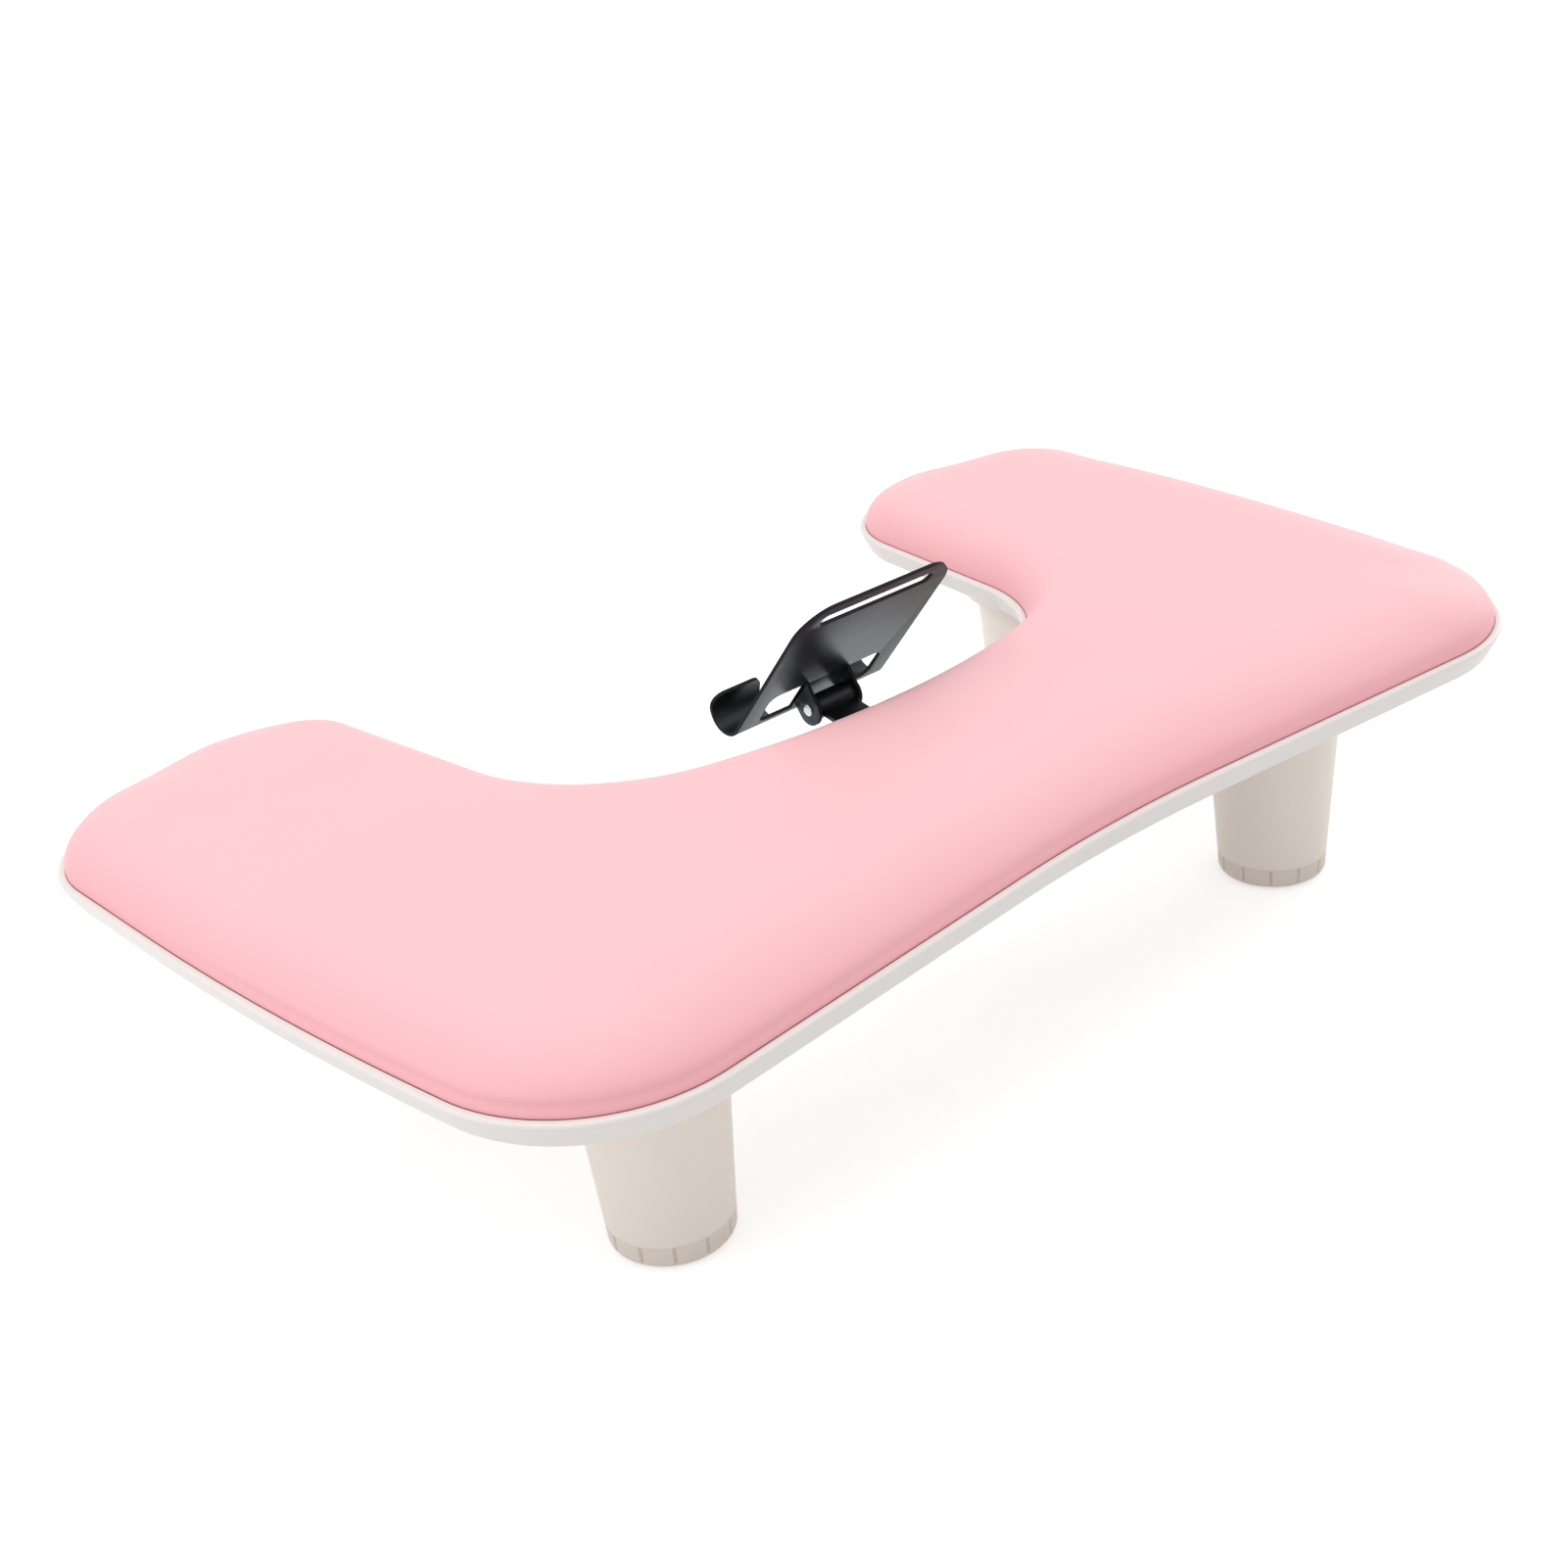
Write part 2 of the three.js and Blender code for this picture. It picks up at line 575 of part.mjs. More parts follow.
// Rounds the lip's corners: a plain block behind the curl's middle, a rounded one before it.
function hookTrim(x0, centreY) {
  const x1 = x0 + plate.hookWidth;
  const r = plate.lipRadius;
  const low = -plate.hookDrop - plate.hookDepth;
  const high = plate.lip - plate.hookDrop;
  const shape = new THREE.Shape();
  shape.moveTo(x0, low);
  shape.lineTo(x1, low);
  shape.lineTo(x1, high - r);
  shape.absarc(x1 - r, high - r, r, 0, Math.PI / 2, false);
  shape.lineTo(x0 + r, high);
  shape.absarc(x0 + r, high - r, r, Math.PI / 2, Math.PI, false);
  const frontHalf = panel(shape, centreY, centreY + plate.hookDepth, plate.lipSteps);
  const backHalf = block3(x0, x1, -overrun, centreY, low, plate.height);
  return frontHalf.add(backHalf);
}

// An ear: a round-ended tab folded back from the window's edge, bored for the pin.
function makeEar(side) {
  const r = ear.radius;
  const shape = new THREE.Shape();
  shape.moveTo(plate.standoff + plate.thick / 2, -plate.windowDrop);
  shape.lineTo(plate.standoff + plate.thick / 2, plate.windowRise);
  shape.lineTo(plate.standoff, plate.windowRise);
  shape.lineTo(0, r);
  shape.absarc(0, 0, r, Math.PI / 2, Math.PI * 3 / 2, false);
  shape.lineTo(plate.standoff, -plate.windowDrop);
  const x0 = side > 0 ? earInner : -ear.outer;
  const hole = new THREE.Path();
  hole.absarc(0, 0, pin.radius + fit, 0, 2 * Math.PI, true);
  shape.holes.push(hole);
  return bar(shape, x0, x0 + ear.thick, ear.curveSteps);
}

// Hinge pin: a riveted rod with a low domed head outside each ear.
function makePin() {
  const seat = ear.outer + fit;
  const end = seat + pin.headHeight;
  const rise = end - pin.dome;
  const shoulder = pin.head - pin.dome;
  const half = [[pin.radius, seat], [pin.head, seat], [pin.head, rise], [shoulder, end], [0, end]];
  const other = half.map(([radius, x]) => [radius, -x]).reverse();
  return turned([...other, ...half], pin.sides, layDown);
}

// A thin ring between an ear and the knuckle.
function makeWasher(side) {
  const from = side * (earInner + arm.half) / 2 - washer.thick / 2;
  const to = from + washer.thick;
  const disc = shaft(washer.radius, from, to, washer.sides);
  return disc.subtract(shaft(pin.radius + fit, from - overrun, to + overrun, pin.sides));
}

// Arm: a bent strap, curled round the pin at one end. It runs back and slightly down from the
// knuckle, drops in front of the tray's rim and turns under the tray to a wider foot.
function makeArm() {
  const under = skirtHeight - fit;
  const dropY = bayEdgeY + tray.rim + arm.rimGap;
  const slope = Math.tan(arm.slope * degrees);
  const shelf = (y) => pinZ + slope * (y - pinY);
  const t = arm.thick / 2;
  const middle = dropY + t;
  const toe = [[middle, under - t], [bayEdgeY - arm.footLength, under - t]];
  const radius = arm.bend + t;
  const path = roundedPath([[pinY, pinZ], [middle, shelf(middle)], ...toe], radius, arm.bendSteps);
  const strap = bar(ribbon(path, t), -arm.half, arm.half);
  const footTop = under + arm.bend + arm.footRise;
  const footPath = roundedPath([[middle, footTop], ...toe], radius, arm.bendSteps);
  const foot = bar(ribbon(footPath, t), -arm.footHalf, arm.footHalf);
  const place = moved(0, pinY, pinZ);
  const knuckle = shaft(arm.knuckleRadius, -arm.half, arm.half, arm.sides, place);
  const bore = shaft(pin.radius + fit, -arm.half - overrun, arm.half + overrun, pin.sides, place);
  const holes = armScrewPlaces.map(([, x, y]) =>
    rod(screwHole, under - arm.thick - overrun, under + overrun, screw.sides, x, y));
  return join([strap, foot, knuckle]).subtract(join([bore, ...holes]));
}

// The points of a polyline with each inner corner rounded by an arc.
function roundedPath(points, radius, steps) {
  const ends = points.map(([y, z]) => new THREE.Vector2(y, z));
  const path = [ends[0]];
  for (let i = 1; i + 1 < ends.length; i += 1) {
    const toBack = ends[i - 1].clone().sub(ends[i]).normalize();
    const toNext = ends[i + 1].clone().sub(ends[i]).normalize();
    const half = Math.acos(toBack.dot(toNext)) / 2;
    const middle = toBack.clone().add(toNext).normalize();
    const centre = ends[i].clone().addScaledVector(middle, radius / Math.sin(half));
    const from = ends[i].clone().addScaledVector(toBack, radius / Math.tan(half));
    const turn = -Math.sign(toBack.cross(toNext)) * (Math.PI - 2 * half);
    for (let k = 0; k <= steps; k += 1) path.push(from.clone().rotateAround(centre, turn * k / steps));
  }
  path.push(ends[ends.length - 1]);
  return path;
}

// A strip of sheet with its middle on a path and half its thickness to each side.
function ribbon(path, t) {
  const sides = path.map((p, i) => {
    const along = path[Math.min(i + 1, path.length - 1)].clone().sub(path[Math.max(i - 1, 0)]).normalize();
    const out = new THREE.Vector2(-along.y, along.x);
    return [p.clone().addScaledVector(out, t), p.clone().addScaledVector(out, -t)];
  });
  const shape = new THREE.Shape();
  shape.setFromPoints([...sides.map(([left]) => left), ...sides.map(([, right]) => right).reverse()]);
  return shape;
}

addMesh('base_tray', makeTray(), shellPlastic);
const footCap = makeFootCap();
const footPadDisc = rod(footPad.radius, 0, footPad.thick, footPad.sides, 0, 0);
for (const [place, x, y] of legPlaces) {
  addMesh(`foot_cap_${place}`, footCap, legPlastic).position.set(x, y, 0);
  addMesh(`foot_pad_${place}`, footPadDisc, rubber).position.set(x, y, 0);
}
addMesh('cushion_board', makeBoard(), wood);
addMesh('cushion_foam', makeFoam(), sponge);
addMesh('cushion_cover', makeCover(), leather);
const padScrew = makeScrew(boardBottom + screw.bite - screwSeat);
screwPlaces.forEach(([x, y], i) => {
  addMesh(`cushion_screw_${i + 1}`, padScrew, brightSteel).position.set(x, y, screwSeat);
});
addMesh('phone_arm', makeArm(), blackSteel);
const armSeat = skirtHeight - fit - arm.thick;
const armScrew = makeScrew(arm.thick + fit + block.pilotDepth - screw.tipGap);
for (const [place, x, y] of armScrewPlaces) {
  addMesh(`arm_screw_${place}`, armScrew, blackSteel).position.set(x, y, armSeat);
}
const hinge = new THREE.Group();
hinge.position.set(0, pinY, pinZ);
hinge.rotation.x = lean * degrees;
root.add(hinge);
addMesh('phone_plate', makePlate(), blackSteel, hinge);
addMesh('hinge_pin', makePin(), brightSteel, hinge);
addMesh('hinge_washer_left', makeWasher(-1), nylon, hinge);
addMesh('hinge_washer_right', makeWasher(1), nylon, hinge);

// The origin stands on the table under the middle of the tray's rim.
const rimY = ring(tray.rim, seamHeight).map((v) => v.y);
root.position.y = -(Math.min(...rimY) + Math.max(...rimY)) / 2;

export default root;
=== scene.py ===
import math

import bmesh
import bpy
import numpy as np
from mathutils import Matrix, Vector, geometry


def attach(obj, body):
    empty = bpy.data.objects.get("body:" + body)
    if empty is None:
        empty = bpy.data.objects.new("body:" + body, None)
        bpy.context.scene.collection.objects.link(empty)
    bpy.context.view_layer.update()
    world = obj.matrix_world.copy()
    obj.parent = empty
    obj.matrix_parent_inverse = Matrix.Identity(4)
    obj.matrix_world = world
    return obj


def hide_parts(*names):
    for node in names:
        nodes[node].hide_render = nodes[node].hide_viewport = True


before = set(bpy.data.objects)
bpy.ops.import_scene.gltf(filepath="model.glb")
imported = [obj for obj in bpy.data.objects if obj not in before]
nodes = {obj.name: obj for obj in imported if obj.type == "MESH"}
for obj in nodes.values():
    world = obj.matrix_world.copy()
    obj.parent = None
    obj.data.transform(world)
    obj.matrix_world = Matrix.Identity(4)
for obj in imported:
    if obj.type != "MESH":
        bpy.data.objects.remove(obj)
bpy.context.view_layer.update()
print("armrest: frame loaded")

mm = 0.001
rowShift = 0.14  # mm from the plan's own origin to the middle of the row


def hexColour(text):
    # sRGB hex to linear: the usual curve, with its straight foot
    c = np.array([int(text[i:i + 2], 16) for i in (1, 3, 5)]) / 255
    linear = np.where(c <= 0.04045, c / 12.92, ((c + 0.055) / 1.055) ** 2.4)
    return (*linear.tolist(), 1.0)


def addNode(tree, kind, settings=None, links=None):
    # Fields start with a small letter, sockets with a capital or are numbers
    made = tree.nodes.new(kind)
    for key, value in (settings or {}).items():
        if isinstance(key, str) and key[0].islower():
            setattr(made, key, value)
        else:
            made.inputs[key].default_value = value
    for key, source in (links or {}).items():
        tree.links.new(source, made.inputs[key])
    return made


def newMaterial(name, look):
    # A Principled material whose even values stand on the shader's own sockets
    material = bpy.data.materials.new(name)
    material.use_nodes = True
    tree = material.node_tree
    tree.nodes.clear()
    shader = addNode(tree, "ShaderNodeBsdfPrincipled", look)
    addNode(tree, "ShaderNodeOutputMaterial", None, {"Surface": shader.outputs[0]})
    place = addNode(tree, "ShaderNodeTexCoord")
    return material, tree, shader, place.outputs["Object"]


def meshPiece(name, points, faces, material, sharp=35, closed=True):
    # points in mm; normals are recalculated once doubles at the poles are merged
    mesh = bpy.data.meshes.new(name)
    mesh.from_pydata((np.asarray(points).reshape(-1, 3) * mm).tolist(), [], faces)
    bm = bmesh.new()
    bm.from_mesh(mesh)
    bmesh.ops.remove_doubles(bm, verts=bm.verts, dist=1e-6)
    if closed:
        bmesh.ops.recalc_face_normals(bm, faces=bm.faces)
    bm.to_mesh(mesh)
    bm.free()
    return dressed(name, mesh, material, sharp)


def dressed(name, mesh, material, sharp):
    mesh.materials.clear()
    mesh.materials.append(material)
    mesh.polygons.foreach_set("use_smooth", np.ones(len(mesh.polygons), bool))
    mesh.set_sharp_from_angle(angle=math.radians(sharp))
    piece = bpy.data.objects.new(name, mesh)
    bpy.context.scene.collection.objects.link(piece)
    return piece


def pointsOf(mesh):
    points = np.zeros(len(mesh.vertices) * 3, np.float32)
    mesh.vertices.foreach_get("co", points)
    return points.reshape(-1, 3)


def setPoints(mesh, points):
    mesh.vertices.foreach_set("co", points.ravel())
    mesh.update()


def roundEdges(piece, size, segments=2, angle=30):
    rim = piece.modifiers.new("edges", "BEVEL")
    rim.width, rim.segments, rim.limit_method = size * mm, segments, "ANGLE"
    rim.angle_limit = math.radians(angle)


def asSheet(piece, thick, size):
    # A flat cut gets its thickness to both sides; its cut edges have their own material
    piece.data.materials.append(cutEdge)
    sheet = piece.modifiers.new("sheet", "SOLIDIFY")
    sheet.thickness, sheet.offset, sheet.material_offset_rim = thick * mm, 0, 1
    roundEdges(piece, size, 3, 50)


def boxFaces(base=0):
    # The six sides of eight points, four below and four above, each set counted round
    sides = ((3, 2, 1, 0), (4, 5, 6, 7), (0, 1, 5, 4), (1, 2, 6, 5), (2, 3, 7, 6), (3, 0, 4, 7))
    return [[base + i for i in side] for side in sides]


def gridFaces(rows, columns, wrapRows=False, caps=(False, False)):
    # Each point joins the next in its row and the next in its column; rows close on themselves
    r, c = np.meshgrid(np.arange(rows if wrapRows else rows - 1), np.arange(columns), indexing="ij")
    up, on = (r + 1) % rows, (c + 1) % columns
    quads = np.stack([r * columns + c, r * columns + on, up * columns + on, up * columns + c], -1)
    faces = quads.reshape(-1, 4).tolist()
    if caps[0]:
        faces.append(list(range(columns))[::-1])
    if caps[1]:
        faces.append(list(range((rows - 1) * columns, rows * columns)))
    return faces


def rounded(points, radii, steps=6):
    # A polyline whose inner corners are arcs tangent to both sides: centre + radius * (cos, sin)
    p = [np.array(q, float) for q in points]
    path = [p[0][None]]
    for i in range(1, len(p) - 1):
        back, on = p[i - 1] - p[i], p[i + 1] - p[i]
        back, on = back / np.linalg.norm(back), on / np.linalg.norm(on)
        half = math.acos(np.clip(back @ on, -1, 1)) / 2
        if radii[i - 1] <= 0:
            path.append(p[i][None])
            continue
        setback = radii[i - 1] / math.tan(half)
        middle = (back + on) / np.linalg.norm(back + on)
        centre = p[i] + middle * radii[i - 1] / math.sin(half)
        arm = p[i] + back * setback - centre
        turn = -np.sign(back[0] * on[1] - back[1] * on[0]) * (math.pi - 2 * half)
        a = np.linspace(0, turn, steps + 1)
        path.append(centre + np.column_stack([
            arm[0] * np.cos(a) - arm[1] * np.sin(a), arm[0] * np.sin(a) + arm[1] * np.cos(a)]))
    path.append(p[-1][None])
    return np.vstack(path)


def turnedGrid(profile, columns, at=(0, 0, 0)):
    # Radius and height carried round the upright axis: (r cos a, r sin a, z)
    a = np.arange(columns) * 2 * math.pi / columns
    r, z = profile[:, :1], profile[:, 1:]
    flat = np.stack([r * np.cos(a), r * np.sin(a), z + 0 * a], -1)
    return flat + np.array(at, float)


def finish(piece, body, slot, *replaced):
    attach(piece, body)
    if replaced:
        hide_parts(*replaced)
    return piece


plan = {
    "half": 271.5, "frontIn": 30, "waistIn": 7, "frontReach": 166.8, "frontDip": 20.6,
    "waistShare": 0.4669, "wingReach": 138, "hornRise": 41, "bayHalf": 125.5, "bayFlare": 24,
    "bayStart": 8, "bayDip": 33.5, "outerEdge": 38.5, "wingEdge": 40.2, "hornEdge": 49.5,
    "bayEdge": 19.8, "ease": 1.5, "seam": 110.1, "skirt": 99.2, "step": 4.5, "turnStep": 4,
}
fillet = {
    "frontMiddle": 0.2059, "front": 0.3893, "waist": 0.5453, "wing": 0.2746, "horn": 0.4782,
    "bay": 0.3669, "bayMiddle": 0.6165,
}


def planLoop():
    # Each corner of the polygon is rounded by an arc, centre + radius * (cos, sin), that takes its
    # share of the shorter side; between arcs the sides are straight. Normals point outwards. The
    # third list is the crown's width there, which eases from one corner's to the next
    p, outer, bay = plan, plan["outerEdge"], plan["bayEdge"]
    waistY = -p["frontReach"] + p["waistShare"] * (p["frontReach"] + p["wingReach"])
    right = [
        (p["half"] - p["frontIn"], -p["frontReach"], fillet["front"], outer, outer),
        (p["half"] - p["waistIn"], waistY, fillet["waist"], outer, outer),
        (p["half"], p["wingReach"], fillet["wing"], p["wingEdge"], p["wingEdge"]),
        (p["bayHalf"] + p["bayFlare"], p["wingReach"] + p["hornRise"], fillet["horn"],
         p["hornEdge"], bay),
        (p["bayHalf"], -p["bayStart"], fillet["bay"], bay, bay),
    ]
    left = [(-x, y, share, end, start) for x, y, share, start, end in right[::-1]]
    corners = [(0, p["frontDip"] - p["frontReach"], fillet["frontMiddle"], outer, outer), *right,
               (0, -p["bayStart"] - p["bayDip"], fillet["bayMiddle"], bay, bay), *left]
    at = np.array([c[:2] for c in corners])
    arcs = []
    for i, (x, y, share, start, end) in enumerate(corners):
        back, on = at[i - 1] - at[i], at[(i + 1) % len(at)] - at[i]
        setback = share * min(np.linalg.norm(back), np.linalg.norm(on))
        back, on = back / np.linalg.norm(back), on / np.linalg.norm(on)
        half = math.acos(back @ on) / 2
        radius = setback * math.tan(half)
        middle = (back + on) / np.linalg.norm(back + on)
        centre = at[i] + middle * radius / math.sin(half)
        arm = at[i] + back * setback - centre
        turn = -np.sign(back[0] * on[1] - back[1] * on[0])
        sweep = math.pi - 2 * half
        steps = math.ceil(max(sweep / math.radians(p["turnStep"]), sweep * radius / p["step"]))
        share = np.linspace(0, 1, steps + 1)
        a = turn * sweep * share
        out = np.column_stack([arm[0] * np.cos(a) - arm[1] * np.sin(a),
                               arm[0] * np.sin(a) + arm[1] * np.cos(a)])
        ease = (share if start > end else 1 - share) ** p["ease"]
        ease = ease * ease * (3 - 2 * ease)
        arcs.append((centre + out, out * turn / radius, max(start, end) - abs(start - end) * ease))
    parts = []
    for i, arc in enumerate(arcs):
        parts.append(arc)
        after = arcs[(i + 1) % len(arcs)]
        a, b = arc[0][-1], after[0][0]
        share = np.linspace(0, 1, max(2, math.ceil(np.linalg.norm(b - a) / p["step"]) + 1))[1:-1, None]
        parts.append((a + (b - a) * share, np.repeat(arc[1][-1:], len(share), 0),
                      arc[2][-1] + (after[2][0] - arc[2][-1]) * share[:, 0]))
    return [np.concatenate(column) for column in zip(*parts)]


edge, normal, width = planLoop()


def ring(offset, height):
    # The plan moved out along its normals
    out = np.broadcast_to(offset, (len(edge),))[:, None]
    return np.column_stack([edge + normal * out + [0, rowShift], np.broadcast_to(height, (len(edge),))])


def insideLoop(points, loop, gap):
    # True where a point lies inside a closed loop, by the crossings of a line to its right, and
    # further than gap from the loop's points
    a, b = loop, np.roll(loop, -1, 0)
    x, y = points[:, :1], points[:, 1:2]
    slope = (b[:, 0] - a[:, 0]) / (b[:, 1] - a[:, 1] + 1e-12)
    crosses = ((a[:, 1] > y) != (b[:, 1] > y)) & (x < slope * (y - a[:, 1]) + a[:, 0])
    apart = np.linalg.norm(points[:, None, :2] - a[None], axis=2).min(axis=1)
    return (crosses.sum(axis=1) % 2 == 1) & (apart > gap)


print("armrest: plan of", len(edge), "points")


# Calendered PVC leathercloth: pressed smooth over foam, so it is satin, with a faint pore grain
# 0.8 mm across and slow random changes of tone; down its sides a deeper pink is painted shade, and just
# above the seam a dark rose is painted shadow in the tuck
vinyl = {
    "colour": "#FEC7CB", "shade": "#FCC1C6", "flankShade": "#F7B3BA", "tuck": "#D98C9A", "grain": 0.8,
    "cloud": 60, "bump": 0.05, "fade": 0.8, "flankTop": 19,
}
padVinyl, tree, shader, place = newMaterial(
    "padVinylCalendered", {"Roughness": 0.5, "Specular IOR Level": 0.4, "IOR": 1.5})
cloud = addNode(tree, "ShaderNodeTexNoise", {"Scale": 1000 / vinyl["cloud"], "Detail": 3.0},
                {"Vector": place})
blend = addNode(tree, "ShaderNodeMapRange", {1: 0.35, 2: 0.75, 3: 0.0, 4: 0.35},
                {0: cloud.outputs["Fac"]})
shade = addNode(tree, "ShaderNodeMix", {"data_type": "RGBA", 6: hexColour(vinyl["colour"]),
                                        7: hexColour(vinyl["shade"])}, {0: blend.outputs[0]})
height = addNode(tree, "ShaderNodeSeparateXYZ", None, {0: place})
# painted shade: from flankTop down to the seam the colour turns to the deeper flank pink
side = addNode(tree, "ShaderNodeMapRange",
               {1: plan["seam"] * mm, 2: (plan["seam"] + vinyl["flankTop"]) * mm, 3: 1.0, 4: 0.0},
               {0: height.outputs["Z"]})
shade = addNode(tree, "ShaderNodeMix", {"data_type": "RGBA", 7: hexColour(vinyl["flankShade"])},
                {0: side.outputs[0], 6: shade.outputs[2]})
# painted shadow: from just above the seam down, the colour turns to the dark rose of the shaded tuck
low = addNode(tree, "ShaderNodeMapRange",
              {1: (plan["seam"] - 0.2) * mm, 2: (plan["seam"] + vinyl["fade"]) * mm, 3: 1.0, 4: 0.0},
              {0: height.outputs["Z"]})
tucked = addNode(tree, "ShaderNodeMix", {"data_type": "RGBA", 7: hexColour(vinyl["tuck"])},
                 {0: low.outputs[0], 6: shade.outputs[2]})
grain = addNode(tree, "ShaderNodeTexVoronoi", {"Scale": 1000 / vinyl["grain"], "feature": "F1"},
                {"Vector": place})
pores = addNode(tree, "ShaderNodeTexNoise", {"Scale": 2200 / vinyl["grain"], "Detail": 2.0},
                {"Vector": place})
relief = addNode(tree, "ShaderNodeMath", {"operation": "MULTIPLY_ADD", 1: 0.6},
                 {0: grain.outputs["Distance"], 2: pores.outputs["Fac"]})
bump = addNode(tree, "ShaderNodeBump", {"Strength": vinyl["bump"], "Distance": 0.0002},
               {"Height": relief.outputs[0]})
tree.links.new(tucked.outputs[2], shader.inputs["Base Color"])
tree.links.new(bump.outputs[0], shader.inputs["Normal"])


def mouldedPlastic(name, look, settings):
    # Injection-moulded plastic: spark-eroded mould texture 0.4 mm across, faint flow shading; where
    # the moulding has a foot colour, painted light low down, its shade moves to it between two heights
    made, tree, shader, place = newMaterial(name, settings)
    flow = addNode(tree, "ShaderNodeTexNoise", {"Scale": 1000 / look["flow"], "Detail": 2.0},
                   {"Vector": place})
    tint = addNode(tree, "ShaderNodeMix", {"data_type": "RGBA", 6: hexColour(look["colour"]),
                                           7: hexColour(look["shade"])}, {0: flow.outputs["Fac"]})
    spark = addNode(tree, "ShaderNodeTexNoise", {"Scale": 1000 / look["texture"], "Detail": 3.0},
                    {"Vector": place})
    rough = addNode(tree, "ShaderNodeMapRange", {1: 0.3, 2: 0.7, 3: look["smooth"], 4: look["rough"]},
                    {0: spark.outputs["Fac"]})
    bump = addNode(tree, "ShaderNodeBump", {"Strength": look["bump"], "Distance": 0.0001},
                   {"Height": spark.outputs["Fac"]})
    # painted light: toward the bottom the colour turns to the foot colour, a warmer tone for the light
    # under the tray
    if "foot" in look:
        height = addNode(tree, "ShaderNodeSeparateXYZ", None, {0: place})
        down = addNode(tree, "ShaderNodeMapRange", {
            "interpolation_type": "SMOOTHSTEP", 1: look["footTop"] * mm, 2: look["rimLow"] * mm,
            3: 1.0, 4: 0.0}, {0: height.outputs["Z"]})
        tint = addNode(tree, "ShaderNodeMix", {"data_type": "RGBA", 7: hexColour(look["foot"])},
                       {0: down.outputs[0], 6: tint.outputs[2]})
    tree.links.new(tint.outputs[2], shader.inputs["Base Color"])
    tree.links.new(rough.outputs[0], shader.inputs["Roughness"])
    tree.links.new(bump.outputs[0], shader.inputs["Normal"])
    return made


# Moulded ABS, satin: near white, soft broad highlights on the rounded rim, and a warmer, lighter
# cream down the legs that is painted light, standing in for the warm light under the tray
trayAbs = mouldedPlastic("trayAbsMoulded", {
    "colour": "#EEE9E5", "shade": "#E9E4E0", "foot": "#F9EEE4", "footTop": 88, "rimLow": 101,
    "flow": 45, "texture": 0.4, "smooth": 0.36, "rough": 0.44, "bump": 0.03}, {"IOR": 1.53})
# The caps: the same plastic from a mould of its own, as cream as the legs that they close; this cream is
# painted warm light, as it is on the legs
capAbs = mouldedPlastic("capAbsMoulded", {
    "colour": "#EFE3D9", "shade": "#EADDD2", "flow": 30, "texture": 0.4, "smooth": 0.42,
    "rough": 0.5, "bump": 0.04}, {"IOR": 1.53})
# Moulded nylon, dull black with a little sheen from its own wax
washerNylon = mouldedPlastic("washerNylonMoulded", {
    "colour": "#1B1B1C", "shade": "#232324", "flow": 3, "texture": 0.3, "smooth": 0.45,
    "rough": 0.6, "bump": 0.08}, {"IOR": 1.53})
# Thermoplastic rubber, moulded matt: grey, and it picks up dust in its texture
footRubber = mouldedPlastic("footRubberMoulded", {
    "colour": "#8E8A86", "shade": "#7C7874", "flow": 6, "texture": 0.5, "smooth": 0.75,
    "rough": 0.92, "bump": 0.25}, {"IOR": 1.5})

# Sheet steel with a satin black powder coat: dark body under a thin coat, orange-peel relief
# 1.2 mm across, fine speckle in the gloss
coat = {"colour": "#101114", "speck": "#1A1B1F", "peel": 1.2, "speckle": 0.25, "bump": 0.06}
restCoat, tree, shader, place = newMaterial("restSteelPowderCoated", {
    "Metallic": 0.2, "IOR": 1.5, "Specular Tint": hexColour("#E0EFFF"), "Coat Weight": 0.06,
    "Coat Roughness": 0.3})
speckle = addNode(tree, "ShaderNodeTexNoise", {"Scale": 1000 / coat["speckle"], "Detail": 2.0},
                  {"Vector": place})
tint = addNode(tree, "ShaderNodeMix", {"data_type": "RGBA", 6: hexColour(coat["colour"]),
                                       7: hexColour(coat["speck"])}, {0: speckle.outputs["Fac"]})
rough = addNode(tree, "ShaderNodeMapRange", {1: 0.3, 2: 0.7, 3: 0.33, 4: 0.42},
                {0: speckle.outputs["Fac"]})
peel = addNode(tree, "ShaderNodeTexNoise", {"Scale": 1000 / coat["peel"], "Detail": 1.0},
               {"Vector": place})
bump = addNode(tree, "ShaderNodeBump", {"Strength": coat["bump"], "Distance": 0.0002},
               {"Height": peel.outputs["Fac"]})
tree.links.new(tint.outputs[2], shader.inputs["Base Color"])
tree.links.new(rough.outputs[0], shader.inputs["Roughness"])
tree.links.new(bump.outputs[0], shader.inputs["Normal"])

# The same coat on the sheet's cut edges, where it draws thin: duller and nearly black
cutEdge, tree, shader, place = newMaterial("restSteelCutEdge", {
    "IOR": 1.5, "Specular IOR Level": 0.2})
burr = addNode(tree, "ShaderNodeTexNoise", {"Scale": 1000 / coat["speckle"], "Detail": 2.0},
               {"Vector": place})
tint = addNode(tree, "ShaderNodeMix", {"data_type": "RGBA", 6: hexColour("#0E0E10"),
                                       7: hexColour("#19191C")}, {0: burr.outputs["Fac"]})
rough = addNode(tree, "ShaderNodeMapRange", {1: 0.3, 2: 0.7, 3: 0.6, 4: 0.75}, {0: burr.outputs["Fac"]})
tree.links.new(tint.outputs[2], shader.inputs["Base Color"])
tree.links.new(rough.outputs[0], shader.inputs["Roughness"])

